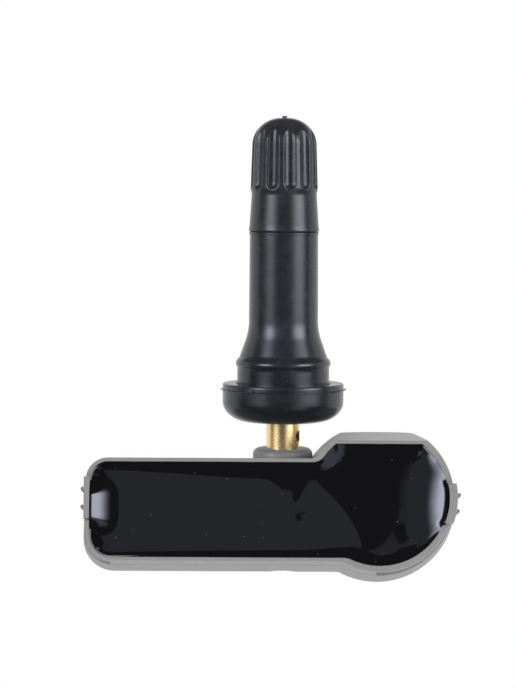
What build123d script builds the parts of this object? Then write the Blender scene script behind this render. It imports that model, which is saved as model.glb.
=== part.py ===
from build123d import *
import os
from math import atan2, cos, degrees, radians, sin, tan

# Tyre pressure sensor on a snap-in rubber valve, in millimetres.
# Z is the valve axis and z = 0 the flange face that seats on the inside of the wheel rim.
# The round battery end of the cup lies towards +X, and its potted face looks towards -Y, tilted up.

# Rubber valve body
FLANGE_R = 9.62
FLANGE_SIDE = 2.9
FLANGE_EDGE_ROUND = 0.25
DOME_WIDTH = 4.2
DOME_DROP = 3.2
DOME_SLOPE = 0.3
FLASH_REACH = 0.5
FLASH_BELOW_SEAT = 0.95
FLASH_ROOT = 0.16
NECK_R = 7.32
RIM_GAP = 2.5
BEAD_REACH = 0.3
BEAD_H = 1.4
BEAD_CREST = 0.63
CONE_FOOT_R = 6.88
CONE_H = 4.6
CONE_BLEND_R = 9.0
STEM_FOOT_R = 5.5
STEM_TOP_R = 5.42
STEM_L = 15.05
COLLAR_RING_REACH = 0.1
COLLAR_RING_H = 0.55

# Brass valve stem
SHANK_R = 2.65
SHANK_IN_RUBBER = 2.0
INSERT_R = 3.3
THREAD_R = 3.85
THREAD_L = 12.4
THREAD_CHAMFER = 0.5
AIR_BORE_R = 1.5
CROSS_HOLE_R = 0.9
CROSS_HOLE_BELOW = 2.0
CROSS_HOLE_TURN = -19.0
SUMP_DEPTH = 1.2

# Valve core
CORE_PLUG_R = 2.4
CORE_PLUG_H = 3.2
CORE_PLUG_BELOW_MOUTH = 1.3
CORE_BARREL_R = 1.85
CORE_BARREL_WALL = 0.4
CORE_BARREL_L = 7.2
CORE_LIP = 0.5
CORE_BRIDGE_W = 2.0
CORE_BRIDGE_H = 1.0
CORE_SLOT_H = 1.8
CORE_CLEARANCE = 0.05
BARREL_SEAL_H = 1.6
BARREL_SEAL_WALL = 0.3
BARREL_SEAL_BELOW_PLUG = 0.6
SEAT_SEAL_R = 1.7
SEAT_SEAL_H = 1.3
SEAT_SEAL_ROOM = 0.45
SEAT_SEAL_RUN = 3.0
PIN_R = 0.5
PIN_BELOW_MOUTH = 0.3
PIN_TIP_ROUND = 0.25
PIN_COLLAR_R = 1.35
PIN_COLLAR_H = 0.5
PIN_RIVET_R = 0.9
PIN_RIVET_H = 0.5
SPRING_L = 5.2
SPRING_WIRE_R = 0.15
SPRING_TURNS = 5

# Valve cap
CAP_GAP = 0.04
CAP_SKIRT_R = 5.59
CAP_LIP_R = 5.5
CAP_LIP_H = 0.75
CAP_WAIST_R = 5.16
CAP_WAIST_H = 6.0
CAP_GRIP_R = 5.33
CAP_GRIP_STEP_H = 0.7
CAP_GRIP_TOP_R = 5.1
CAP_GRIP_H = 6.9
CAP_CROWN_R = 0.5
CAP_CROWN_H = 4.3
CAP_NUB_R = 0.4
CAP_NUB_H = 0.3
CAP_COUNTERBORE_R = 4.6
CAP_COUNTERBORE_H = 2.2
CAP_THREAD_CLEARANCE = 0.1
CAP_SEAL_H = 1.6
CAP_SEAL_CLEARANCE = 0.1
CAP_SEAL_HOLE_R = 1.2
FLUTE_COUNT = 12
FLUTE_R = 1.25
FLUTE_DEPTH = 0.52
FLUTE_FROM_WAIST = 0.36
FLUTE_TURN = -81.0

# Sensor cup: where it sits on the valve, and its walls
TILT = 11.6
FACE_FROM_AXIS = 10.55
ROUND_BELOW_SEAT = 16.85
BAR_L = 45.7
BAR_ABOVE = 5.95
BAR_BELOW = 10.05
CORNER_TOP_R = 3.4
CORNER_BOTTOM_R = 4.0
JOIN_TOP_R = 1.5
JOIN_BOTTOM_R = 2.0
CUP_DEPTH = 13.5
FLARE = 5.0
BACK_ROUND = 1.8
BACK_WALL = 1.5
RIM_W = 0.56
ROUND_RIM_W = 0.9
LEDGE_W = 0.25
LEDGE_DROP = 1.0
FLAT_WALL = 0.5
FLAT_GAP = 0.16

# Resin face: hollowed to a bed along the bar and a deeper dish in the round end
RESIN_DROP = 0.1
RESIN_EDGE_W = 0.1
BED_DROP = 0.75
BED_ROUND = 0.6
DISH_DROP = 1.9
DISH_FLAT_R = 4.5

# Parting groove and end pockets behind the rim lip
GROOVE_FROM_RIM = 4.3
GROOVE_W = 0.25
GROOVE_DEPTH = 0.15
POCKET_LIP = 1.0
POCKET_W = 3.3
POCKET_DEPTH = 0.5
POCKET_END_L = 3.8
POCKET_START_ANGLE = -92.0
POCKET_STOP_ANGLE = 37.0
RIM_EDGE_ROUND = 0.12

# Ribbed pads on both ends
PAD_RAISE = 0.5
PAD_DEPTH = 8.6
PAD_SLIT = 0.3
PAD_EDGE_ROUND = 0.12
BAR_PAD_REACH = 0.3
BAR_PAD_TOP = 2.95
BAR_PAD_BOTTOM = -3.55
ROUND_PAD_REACH = 0.55
ROUND_PAD_WALL = 0.74
ROUND_PAD_TOP = 2.15
ROUND_PAD_BOTTOM = -4.05
RIB_REACH = 0.5
RIB_T = 0.6
RIB_L = 8.0
RIB_ROUND = 0.25
BAR_RIB_V = (1.05, -1.75)
ROUND_RIB_V = (0.35, -2.15)

# Valve socket and its screw
COLLAR_R = 4.75
COLLAR_BELOW_DOME = 3.93
COLLAR_ROUND = 1.0
SOCKET_DEPTH = 6.0
SOCKET_CLEARANCE = 0.02
SOCKET_WEB = 2.0
SCREW_R = 1.25
SCREW_GRIP = 4.5
SCREW_HEAD_R = 2.2
SCREW_HEAD_H = 1.8
SCREW_DRIVE_R = 1.35
SCREW_LOBE_R = 0.34
SCREW_LOBES = 6
SCREW_DRIVE_DEPTH = 1.1
WELL_CLEARANCE = 0.2
BOSS_BELOW_WEB = 3.0

# Battery cell and its tabs
CELL_R = 10.0
CELL_H = 3.2
CELL_DROP = 0.15
CELL_LID_H = 0.4
CELL_LID_INSET = 0.5
CELL_EDGE_ROUND = 0.2
CELL_FLOOR_GAP = 0.4
CELL_RIM_GAP = 0.45
CELL_BOSS_GAP = 0.25
TAB_T = 0.2
TAB_W = 2.0
TAB_CELL_L = 6.0
TAB_CELL_GAP = 0.25
NEGATIVE_TAB_V = -5.0
POSITIVE_TAB_V = -7.6

# Circuit board and what it carries
BOARD_T = 1.0
BOARD_FROM_RIM = 2.2
BOARD_GAP = 0.4
BOARD_PAST_TABS = 1.2
BOARD_CORNER_R = 2.0
CHIP_W = 5.0
CHIP_H = 1.8
CHIP_FROM_END = 14.5
CHIP_V = -3.0
GASKET_R = 2.2
PORT_R = 0.8
COIL_L = 8.0
COIL_CHEEK_L = 1.2
COIL_W = 2.6
COIL_CORE_W = 1.4
COIL_FROM_END = 5.5
COIL_V = -2.6
WINDING_ROUND = 0.3
CRYSTAL_L = 3.2
CRYSTAL_W = 2.5
CRYSTAL_H = 0.75
CRYSTAL_FROM_END = 20.0
CRYSTAL_V = -5.0
CRYSTAL_ROUND = 0.25
CAPACITOR_L = 2.0
CAPACITOR_W = 1.25
CAPACITOR_H = 0.9
CAPACITOR_COUNT = 4
CAPACITOR_PITCH = 3.2
CAPACITOR_FROM_END = 7.0
CAPACITOR_V = 1.5
ANTENNA_L = 18.0
ANTENNA_H = 6.0
ANTENNA_W = 1.2
ANTENNA_T = 0.5
ANTENNA_ROUND = 1.5
ANTENNA_FROM_END = 2.5
ANTENNA_V = 3.0

# Heights along the valve axis that follow from the sizes above
DOME_Z = -FLANGE_SIDE - DOME_DROP - DOME_SLOPE
BEAD_TOP_Z = RIM_GAP + BEAD_H
CONE_TOP_Z = BEAD_TOP_Z + CONE_H
RUBBER_TOP_Z = CONE_TOP_Z + STEM_L + COLLAR_RING_H
MOUTH_Z = RUBBER_TOP_Z + THREAD_L
COLLAR_Z = DOME_Z - COLLAR_BELOW_DOME
SHANK_END_Z = COLLAR_Z - SOCKET_DEPTH
SCREW_SEAT_Z = SHANK_END_Z - SOCKET_WEB
CROSS_HOLE_Z = DOME_Z - CROSS_HOLE_BELOW
PLUG_TOP_Z = MOUTH_Z - CORE_PLUG_BELOW_MOUTH
PLUG_Z = PLUG_TOP_Z - CORE_PLUG_H
BARREL_Z = PLUG_Z - CORE_BARREL_L
SEAL_TOP_Z = PLUG_Z - BARREL_SEAL_BELOW_PLUG
SPRING_Z = BARREL_Z + CORE_LIP
PIN_TOP_Z = MOUTH_Z - PIN_BELOW_MOUTH
CAP_Z = RUBBER_TOP_Z + CAP_GAP
CAP_GRIP_Z = CAP_Z + CAP_WAIST_H + CAP_GRIP_STEP_H
CAP_DOME_Z = CAP_GRIP_Z + CAP_GRIP_H
CAP_CEILING_Z = MOUTH_Z + CAP_SEAL_H

# Radii that follow: each bore clears or holds the piece inside it
BARREL_BORE_R = CORE_BARREL_R - CORE_BARREL_WALL
SEAL_R = CORE_BARREL_R + BARREL_SEAL_WALL
CHAMBER_R = CORE_PLUG_R + CORE_CLEARANCE
SEAT_ROOM_R = SEAT_SEAL_R + SEAT_SEAL_ROOM
PIN_HOLE_R = PIN_R + CORE_CLEARANCE
CAP_BORE_R = THREAD_R + CAP_THREAD_CLEARANCE

# The cup's own frame: u along the bar, v up its face, n out of its face, from the round end's centre
ROUND_R = CELL_R + CELL_RIM_GAP + LEDGE_W + ROUND_RIM_W
ROUND_X = COLLAR_R + CELL_BOSS_GAP + CELL_R
CUP = Plane(
    origin=(ROUND_X, -FACE_FROM_AXIS, -ROUND_BELOW_SEAT),
    x_dir=(1, 0, 0),
    z_dir=(0, -cos(radians(TILT)), sin(radians(TILT))),
)
FLOOR_N = -(CUP_DEPTH - BACK_WALL)
BOARD_FRONT_N = -BOARD_FROM_RIM
BOARD_BACK_N = BOARD_FRONT_N - BOARD_T
CELL_BACK_N = FLOOR_N + CELL_FLOOR_GAP
CELL_FRONT_N = CELL_BACK_N + CELL_H
CELL_TOP_Z = (CUP * Pos(0, CELL_R - CELL_DROP, CELL_FRONT_N)).position.Z
FLAT_Z = CELL_TOP_Z + FLAT_GAP + FLAT_WALL
BOARD_END_U = -BAR_L + RIM_W + LEDGE_W + BOARD_GAP
TAB_LEG_U = -CELL_R + TAB_CELL_GAP
AWAY = 4 * (BAR_L + ROUND_R)


def turned(profile):
    """A solid turned about the Z axis from a half profile drawn as radius and height."""
    return revolve(Plane.XZ * profile, Axis.Z)


def rounded(profile, corner, radius):
    """The profile with the vertex at the given corner rounded."""
    vertex = profile.vertices().sort_by_distance((corner[0], corner[1], 0))[0]
    return fillet(vertex, radius)


def tube(outer_r, inner_r, z_low, z_high):
    """A plain ring or tube about the valve axis."""
    ring = Circle(outer_r) - Circle(inner_r)
    return Pos(0, 0, z_low) * extrude(ring, z_high - z_low)


def rod(radius, z_low, z_high):
    """A plain cylinder on the valve axis."""
    return Pos(0, 0, z_low) * extrude(Circle(radius), z_high - z_low)


def block(u_low, u_high, v_low, v_high, n_low, n_high):
    """A box in the cup's frame, from its six faces."""
    corner = Pos(u_low, v_low, n_low)
    size = (u_high - u_low, v_high - v_low, n_high - n_low)
    return corner * Box(*size, align=(Align.MIN, Align.MIN, Align.MIN))


def above(z_low):
    """Everything above a level plane across the valve axis."""
    return Pos(0, 0, z_low) * Box(AWAY, AWAY, AWAY, align=(Align.CENTER, Align.CENTER, Align.MIN))


# Valve


def valve_stem_envelope():
    """The brass stem without its bores: shank, insert moulded into the rubber, and thread."""
    insert_z = DOME_Z + SHANK_IN_RUBBER
    profile = make_face(
        Polyline(
            (0, SHANK_END_Z),
            (SHANK_R, SHANK_END_Z),
            (SHANK_R, insert_z),
            (INSERT_R, insert_z + INSERT_R - SHANK_R),
            (INSERT_R, RUBBER_TOP_Z - THREAD_R + INSERT_R),
            (THREAD_R, RUBBER_TOP_Z),
            (THREAD_R, MOUTH_Z - THREAD_CHAMFER),
            (THREAD_R - THREAD_CHAMFER, MOUTH_Z),
            (0, MOUTH_Z),
            close=True,
        )
    )
    return turned(profile)


def rubber_valve_body():
    """Flange with moulding flash, rim groove, sealing bead, cone and stem, moulded round the brass."""
    dome_r = FLANGE_R - DOME_WIDTH
    flash_z = -FLASH_BELOW_SEAT
    bead = ThreePointArc(
        (NECK_R, RIM_GAP),
        (NECK_R + BEAD_REACH, RIM_GAP + BEAD_CREST),
        (CONE_FOOT_R, BEAD_TOP_Z),
    )
    ring_z = RUBBER_TOP_Z - COLLAR_RING_H
    outline = (
        Line((0, DOME_Z), (dome_r, DOME_Z + DOME_SLOPE))
        + EllipticalCenterArc((dome_r, -FLANGE_SIDE), DOME_WIDTH, DOME_DROP, start_angle=270)
        + Polyline(
            (FLANGE_R, -FLANGE_SIDE),
            (FLANGE_R, flash_z - FLASH_ROOT / 2),
            (FLANGE_R + FLASH_REACH, flash_z),
            (FLANGE_R, flash_z + FLASH_ROOT / 2),
            (FLANGE_R, 0),
            (NECK_R, 0),
            (NECK_R, RIM_GAP),
        )
        + bead
        + Polyline(
            (CONE_FOOT_R, BEAD_TOP_Z),
            (STEM_FOOT_R, CONE_TOP_Z),
            (STEM_TOP_R, ring_z),
            (STEM_TOP_R + COLLAR_RING_REACH, ring_z),
            (STEM_TOP_R + COLLAR_RING_REACH, RUBBER_TOP_Z),
            (0, RUBBER_TOP_Z),
            (0, DOME_Z),
        )
    )
    profile = make_face(outline)
    profile = rounded(profile, (FLANGE_R, 0), FLANGE_EDGE_ROUND)
    profile = rounded(profile, (STEM_FOOT_R, CONE_TOP_Z), CONE_BLEND_R)
    return turned(profile) - valve_stem_envelope()


def valve_stem():
    """Brass stem: core chamber in its mouth, air bore to a cross hole, screw hole in its closed end."""
    throat_z = SEAL_TOP_Z - BARREL_SEAL_H
    bores = (
        rod(CHAMBER_R, PLUG_Z, MOUTH_Z)
        + rod(SEAL_R, throat_z, PLUG_Z)
        + rod(SEAT_ROOM_R, BARREL_Z - SEAT_SEAL_H - PIN_RIVET_H - SEAT_SEAL_RUN, throat_z)
        + rod(AIR_BORE_R, CROSS_HOLE_Z - SUMP_DEPTH, throat_z)
    )
    cross = Pos(0, 0, CROSS_HOLE_Z) * Rot(0, 0, CROSS_HOLE_TURN) * Rot(0, 90, 0)
    cross_hole = cross * extrude(Circle(CROSS_HOLE_R), SHANK_R + AIR_BORE_R)
    screw_hole = rod(SCREW_R, SHANK_END_Z, SHANK_END_Z + SCREW_GRIP)
    return valve_stem_envelope() - bores - cross_hole - screw_hole


def core_body():
    """Valve core: screw-in plug with a slotted bridge, and the barrel below it."""
    body = rod(CORE_PLUG_R, PLUG_Z, PLUG_TOP_Z) + rod(CORE_BARREL_R, BARREL_Z, PLUG_Z)
    body -= rod(BARREL_BORE_R, SPRING_Z, PLUG_TOP_Z - CORE_BRIDGE_H)
    body -= rod(PIN_HOLE_R, PLUG_TOP_Z - CORE_BRIDGE_H, PLUG_TOP_Z)
    body -= rod((PIN_HOLE_R + BARREL_BORE_R) / 2, BARREL_Z, SPRING_Z)
    slot_z = PLUG_TOP_Z - CORE_SLOT_H
    for side in (-1, 1):
        cut = Box(AWAY, CORE_PLUG_R, CORE_SLOT_H, align=(Align.CENTER, Align.CENTER, Align.MIN))
        body -= Pos(0, side * (CORE_BRIDGE_W + CORE_PLUG_R) / 2, slot_z) * cut
    return body


def core_barrel_seal():
    """Ring seal between the core's barrel and the stem."""
    return tube(SEAL_R, CORE_BARREL_R, SEAL_TOP_Z - BARREL_SEAL_H, SEAL_TOP_Z)


def core_seat_seal():
    """Rubber cup on the pin that closes the lower end of the barrel."""
    seal = rod(SEAT_SEAL_R, BARREL_Z - SEAT_SEAL_H, BARREL_Z)
    return seal - rod(PIN_R, BARREL_Z - SEAT_SEAL_H, BARREL_Z)


def core_pin():
    """Pin with the collar that the spring pushes up and the rivet head that holds the seat seal."""
    seal_z = BARREL_Z - SEAT_SEAL_H
    collar_z = SPRING_Z + SPRING_L
    pin = rod(PIN_R, seal_z - PIN_RIVET_H, PIN_TOP_Z)
    pin = fillet(pin.edges().group_by(Axis.Z)[-1], PIN_TIP_ROUND)
    collar = rod(PIN_COLLAR_R, collar_z, collar_z + PIN_COLLAR_H)
    rivet = rod(PIN_RIVET_R, seal_z - PIN_RIVET_H, seal_z)
    return pin + collar + rivet


def core_spring():
    """Coil spring between the barrel's lower lip and the pin's collar."""
    coil_r = (PIN_R + BARREL_BORE_R) / 2
    height = SPRING_L - 2 * SPRING_WIRE_R
    path = Helix(height / SPRING_TURNS, height, coil_r)
    section = Plane(origin=path @ 0, z_dir=path % 0) * Circle(SPRING_WIRE_R)
    return Pos(0, 0, SPRING_Z + SPRING_WIRE_R) * sweep(section, path, is_frenet=True)


def valve_cap():
    """Moulded cap: long skirt, waist, fluted grip and domed crown with a gate mark."""
    dome_w = CAP_GRIP_TOP_R - CAP_CROWN_R
    crown_z = CAP_DOME_Z + CAP_CROWN_H
    outline = (
        Polyline(
            (CAP_BORE_R, CAP_CEILING_Z),
            (CAP_BORE_R, CAP_Z + CAP_COUNTERBORE_H + CAP_COUNTERBORE_R - CAP_BORE_R),
            (CAP_COUNTERBORE_R, CAP_Z + CAP_COUNTERBORE_H),
            (CAP_COUNTERBORE_R, CAP_Z),
            (CAP_SKIRT_R, CAP_Z),
            (CAP_LIP_R, CAP_Z + CAP_LIP_H),
            (CAP_WAIST_R, CAP_Z + CAP_WAIST_H),
            (CAP_GRIP_R, CAP_GRIP_Z),
            (CAP_GRIP_TOP_R, CAP_DOME_Z),
        )
        + EllipticalCenterArc((CAP_CROWN_R, CAP_DOME_Z), dome_w, CAP_CROWN_H)
        + Polyline(
            (CAP_CROWN_R, crown_z),
            (CAP_NUB_R, crown_z),
            (CAP_NUB_R, crown_z + CAP_NUB_H),
            (0, crown_z + CAP_NUB_H),
            (0, CAP_CEILING_Z),
            (CAP_BORE_R, CAP_CEILING_Z),
        )
    )
    cap = turned(make_face(outline))
    lean = atan2(CAP_GRIP_R - CAP_GRIP_TOP_R, CAP_GRIP_H)
    flute_z = CAP_Z + CAP_WAIST_H + FLUTE_FROM_WAIST + FLUTE_R
    flute_r = CAP_GRIP_R - (flute_z - CAP_GRIP_Z) * tan(lean) + FLUTE_R - FLUTE_DEPTH
    gouge = extrude(Circle(FLUTE_R), CAP_GRIP_H + CAP_CROWN_H) + Sphere(FLUTE_R)
    gouge = Pos(flute_r, 0, flute_z) * Rot(0, -degrees(lean), 0) * gouge
    for index in range(FLUTE_COUNT):
        cap -= Rot(0, 0, FLUTE_TURN + index * 360 / FLUTE_COUNT) * gouge
    return cap


def cap_seal():
    """Seal washer between the cap's ceiling and the mouth of the stem."""
    return tube(CAP_BORE_R - CAP_SEAL_CLEARANCE, CAP_SEAL_HOLE_R, MOUTH_Z, CAP_CEILING_Z)


# Sensor cup


def cup_outline(grow, round_grow):
    """The cup seen square on to its face: a bar with its edges moved out by grow, and a round end."""
    end_u = -BAR_L - grow
    top_v = BAR_ABOVE + grow
    bottom_v = -BAR_BELOW - grow
    bar = Pos(end_u / 2, (top_v + bottom_v) / 2) * Rectangle(-end_u, top_v - bottom_v)
    bar = rounded(bar, (end_u, top_v), CORNER_TOP_R + grow)
    bar = rounded(bar, (end_u, bottom_v), CORNER_BOTTOM_R + grow)
    round_r = ROUND_R + round_grow
    outline = bar + Circle(round_r)
    for v, radius in ((top_v, JOIN_TOP_R), (bottom_v, JOIN_BOTTOM_R)):
        join_u = -((round_r**2 - v**2) ** 0.5)
        outline = rounded(outline, (join_u, v), radius - grow)
    return outline


def cup_slice(grow, n_low, n_high):
    """The cup's outline, grown, drawn out between two depths."""
    return Pos(0, 0, n_low) * extrude(cup_outline(grow, grow), n_high - n_low)


def outside_slice(grow, n_low, n_high):
    """Everything outside the grown outline between two depths."""
    return block(-AWAY, AWAY, -AWAY, AWAY, n_low, n_high) - cup_slice(grow, n_low, n_high)


def flare_at(depth):
    """How far the flared wall stands outside the rim's outline at a depth behind the rim."""
    return depth * tan(radians(FLARE))


def end_regions():
    """The stretches of wall round both ends of the cup that have a pocket, clear of the pads."""
    left = block(-AWAY, -BAR_L + POCKET_END_L, -AWAY, AWAY, -AWAY, AWAY)
    left -= block(-AWAY, AWAY, BAR_PAD_BOTTOM, BAR_PAD_TOP, -AWAY, AWAY)
    sweep_angle = POCKET_STOP_ANGLE - POCKET_START_ANGLE
    arc = CenterArc((0, 0), AWAY, POCKET_START_ANGLE, sweep_angle)
    sector = make_face(arc + Line((0, 0), arc @ 0) + Line(arc @ 1, (0, 0)))
    right = Pos(0, 0, -AWAY) * extrude(sector, 2 * AWAY)
    right -= block(-AWAY, AWAY, ROUND_PAD_BOTTOM, ROUND_PAD_TOP, -AWAY, AWAY)
    return left + right


def cup_shell():
    """Flared outside of the cup with rounded back, parting groove and end pockets, in its own frame."""
    spread = flare_at(CUP_DEPTH)
    back = Pos(0, 0, -CUP_DEPTH) * cup_outline(spread, spread)
    shell = extrude(back, CUP_DEPTH, taper=FLARE)
    shell = fillet(shell.faces().sort_by(Axis.Z)[0].edges(), BACK_ROUND)
    shell = fillet(shell.faces().sort_by(Axis.Z)[-1].edges(), RIM_EDGE_ROUND)
    groove_low = -GROOVE_FROM_RIM - GROOVE_W
    groove_floor = flare_at(GROOVE_FROM_RIM) - GROOVE_DEPTH
    shell -= outside_slice(groove_floor, groove_low, -GROOVE_FROM_RIM)
    pocket_low = -POCKET_LIP - POCKET_W
    pocket_floor = flare_at(POCKET_LIP) - POCKET_DEPTH
    return shell - (outside_slice(pocket_floor, pocket_low, -POCKET_LIP) & end_regions())


def bar_pad():
    """Ribbed grip pad on the end of the bar."""
    face_u = -BAR_L - BAR_PAD_REACH
    pad = block(face_u, -BAR_L + RIM_W, BAR_PAD_BOTTOM, BAR_PAD_TOP, -PAD_DEPTH, PAD_RAISE)
    pad = fillet(pad.faces().sort_by(Axis.Z)[-1].edges(), PAD_EDGE_ROUND)
    for v in BAR_RIB_V:
        rib_low = v - RIB_T / 2
        rib = block(face_u - RIB_REACH, face_u, rib_low, rib_low + RIB_T, -RIB_L, 0)
        pad += fillet(rib.edges().filter_by(Axis.Z).group_by(Axis.X)[0], RIB_ROUND)
    return pad


def round_pad_sector(radius):
    """The stretch of the round end's disc that its pad covers, out to a radius."""
    height = ROUND_PAD_TOP - ROUND_PAD_BOTTOM
    band = Pos(radius / 2, (ROUND_PAD_TOP + ROUND_PAD_BOTTOM) / 2) * Rectangle(radius, height)
    return Circle(radius) & band


def round_pad():
    """Ribbed grip pad that follows the round end."""
    ring = round_pad_sector(ROUND_R + ROUND_PAD_REACH) - Circle(ROUND_R - ROUND_PAD_WALL)
    pad = Pos(0, 0, -PAD_DEPTH) * extrude(ring, PAD_DEPTH + PAD_RAISE)
    pad = fillet(pad.faces().sort_by(Axis.Z)[-1].edges(), PAD_EDGE_ROUND)
    for v in ROUND_RIB_V:
        rib_low = v - RIB_T / 2
        root_u = (ROUND_R**2 - v**2) ** 0.5
        tip_u = root_u + ROUND_PAD_REACH + RIB_REACH
        rib = block(root_u, tip_u, rib_low, rib_low + RIB_T, -RIB_L, 0)
        pad += fillet(rib.edges().filter_by(Axis.Z).group_by(Axis.X)[-1], RIB_ROUND)
    return pad


def pad_slits():
    """Narrow gaps in the rim lip at the lower end of each pad."""
    left_v = BAR_PAD_BOTTOM - PAD_SLIT
    left = block(-BAR_L - BAR_PAD_REACH, -BAR_L + RIM_W, left_v, BAR_PAD_BOTTOM, -POCKET_LIP, PAD_RAISE)
    right_v = ROUND_PAD_BOTTOM - PAD_SLIT
    right = block(0, ROUND_R + ROUND_PAD_REACH, right_v, ROUND_PAD_BOTTOM, -POCKET_LIP, PAD_RAISE)
    return left + right


def cavity(rim_n):
    """The space inside the cup up to a level near its rim, with the ledge that steps the wall in."""
    mouth = cup_outline(-RIM_W, -ROUND_RIM_W) + round_pad_sector(ROUND_R - ROUND_PAD_WALL)
    room = cup_outline(-RIM_W - LEDGE_W, -ROUND_RIM_W - LEDGE_W)
    space = Pos(0, 0, -LEDGE_DROP) * extrude(mouth, rim_n + LEDGE_DROP)
    space += Pos(0, 0, FLOOR_N) * extrude(room, rim_n - FLOOR_N)
    return CUP * space - above(FLAT_Z - FLAT_WALL)


def valve_boss(shell):
    """Socket boss for the stem, coaxial with the valve, with the screw well's wall down to the bottom."""
    boss_end_z = SCREW_SEAT_Z - BOSS_BELOW_WEB
    boss = rod(COLLAR_R, boss_end_z, COLLAR_Z)
    boss = fillet(boss.edges().group_by(Axis.Z)[-1], COLLAR_ROUND)
    return boss + (rod(COLLAR_R, COLLAR_Z - AWAY, boss_end_z) & shell)


def housing():
    """The moulded cup with its pads, valve socket, screw well and pressure port."""
    shell = CUP * cup_shell() - above(FLAT_Z)
    body = shell + CUP * (bar_pad() + round_pad()) - CUP * pad_slits() - cavity(PAD_RAISE)
    body += valve_boss(shell)
    body -= rod(SHANK_R + SOCKET_CLEARANCE, SHANK_END_Z, COLLAR_Z)
    body -= rod(SCREW_R + WELL_CLEARANCE, SCREW_SEAT_Z, SHANK_END_Z)
    body -= rod(SCREW_HEAD_R + WELL_CLEARANCE, COLLAR_Z - AWAY, SCREW_SEAT_Z)
    port = Pos(BOARD_END_U + CHIP_FROM_END, CHIP_V, -CUP_DEPTH) * extrude(Circle(PORT_R), BACK_WALL)
    return body - CUP * port


def mounting_screw():
    """Screw up into the closed end of the stem, with a six-lobed recess in its head."""
    head_z = SCREW_SEAT_Z - SCREW_HEAD_H
    shank = rod(SCREW_R, SCREW_SEAT_Z, SHANK_END_Z + SCREW_GRIP)
    screw = shank + rod(SCREW_HEAD_R, head_z, SCREW_SEAT_Z)
    drive = Circle(SCREW_DRIVE_R - SCREW_LOBE_R)
    for lobe in PolarLocations(SCREW_DRIVE_R - SCREW_LOBE_R, SCREW_LOBES):
        drive += lobe * Circle(SCREW_LOBE_R)
    return screw - Pos(0, 0, head_z) * extrude(drive, SCREW_DRIVE_DEPTH)


# Electronics, in the cup's frame


def battery_cell():
    """Coin cell: can with a narrower raised cap on the side that faces the board."""
    can = Pos(0, -CELL_DROP, CELL_BACK_N) * extrude(Circle(CELL_R), CELL_H - CELL_LID_H)
    lid = extrude(Circle(CELL_R - CELL_LID_INSET), CELL_LID_H)
    lid = Pos(0, -CELL_DROP, CELL_FRONT_N - CELL_LID_H) * lid
    return fillet(can.edges().group_by(Axis.Z)[0], CELL_EDGE_ROUND) + lid


def battery_tab(v, foot_n):
    """Strip welded on the cell at one depth, bent up to the back of the board."""
    low_v = v - TAB_W / 2
    high_v = v + TAB_W / 2
    foot = block(TAB_LEG_U - TAB_T, TAB_LEG_U + TAB_CELL_L, low_v, high_v, foot_n, foot_n + TAB_T)
    leg = block(TAB_LEG_U - TAB_T, TAB_LEG_U, low_v, high_v, foot_n, BOARD_BACK_N)
    return foot + leg


def circuit_board():
    """Board that fills the bar and carries the cell's tabs at its right-hand end."""
    low_v = -BAR_BELOW + RIM_W + LEDGE_W + BOARD_GAP
    high_v = BAR_ABOVE - RIM_W - LEDGE_W - BOARD_GAP
    board = block(BOARD_END_U, TAB_LEG_U + BOARD_PAST_TABS, low_v, high_v, BOARD_BACK_N, BOARD_FRONT_N)
    return fillet(board.edges().filter_by(Axis.Z), BOARD_CORNER_R)


def on_board(from_end, v, length, width, height, front):
    """A block that stands on the front or the back of the board."""
    centre_u = BOARD_END_U + from_end
    n_low = BOARD_FRONT_N if front else BOARD_BACK_N - height
    return block(
        centre_u - length / 2, centre_u + length / 2, v - width / 2, v + width / 2, n_low, n_low + height
    )


def sensor_chip():
    """Pressure sensor and radio chip on the back of the board."""
    return on_board(CHIP_FROM_END, CHIP_V, CHIP_W, CHIP_W, CHIP_H, False)


def port_gasket(filled):
    """Soft tube that leads tyre air from the port to the chip, or its outside alone when filled."""
    ring = Circle(GASKET_R)
    if not filled:
        ring -= Circle(PORT_R)
    chip_face_n = BOARD_BACK_N - CHIP_H
    return Pos(BOARD_END_U + CHIP_FROM_END, CHIP_V, FLOOR_N) * extrude(ring, chip_face_n - FLOOR_N)


def lf_coil_core():
    """Ferrite bar with square cheeks."""
    core = on_board(COIL_FROM_END, COIL_V, COIL_L, COIL_W, COIL_W, False)
    return core - lf_coil_space() + lf_coil_bar()


def lf_coil_space():
    """The room between the cheeks of the coil."""
    return on_board(COIL_FROM_END, COIL_V, COIL_L - 2 * COIL_CHEEK_L, COIL_W, COIL_W, False)


def lf_coil_bar():
    """The bar of the coil that carries its winding."""
    inset = (COIL_W - COIL_CORE_W) / 2
    bar = on_board(COIL_FROM_END, COIL_V, COIL_L, COIL_CORE_W, COIL_CORE_W, False)
    return Pos(0, 0, -inset) * bar


def lf_coil_winding():
    """Wire wound between the cheeks."""
    winding = lf_coil_space()
    winding = fillet(winding.edges().filter_by(Axis.X), WINDING_ROUND)
    return winding - lf_coil_bar()


def timing_crystal():
    """Flat crystal can on the front of the board."""
    can = on_board(CRYSTAL_FROM_END, CRYSTAL_V, CRYSTAL_L, CRYSTAL_W, CRYSTAL_H, True)
    return fillet(can.edges().filter_by(Axis.Z), CRYSTAL_ROUND)


def board_capacitors():
    """A row of chip capacitors on the front of the board."""
    row = []
    for index in range(CAPACITOR_COUNT):
        from_end = CAPACITOR_FROM_END + index * CAPACITOR_PITCH
        row.append(on_board(from_end, CAPACITOR_V, CAPACITOR_L, CAPACITOR_W, CAPACITOR_H, True))
    return Compound(row)


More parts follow.
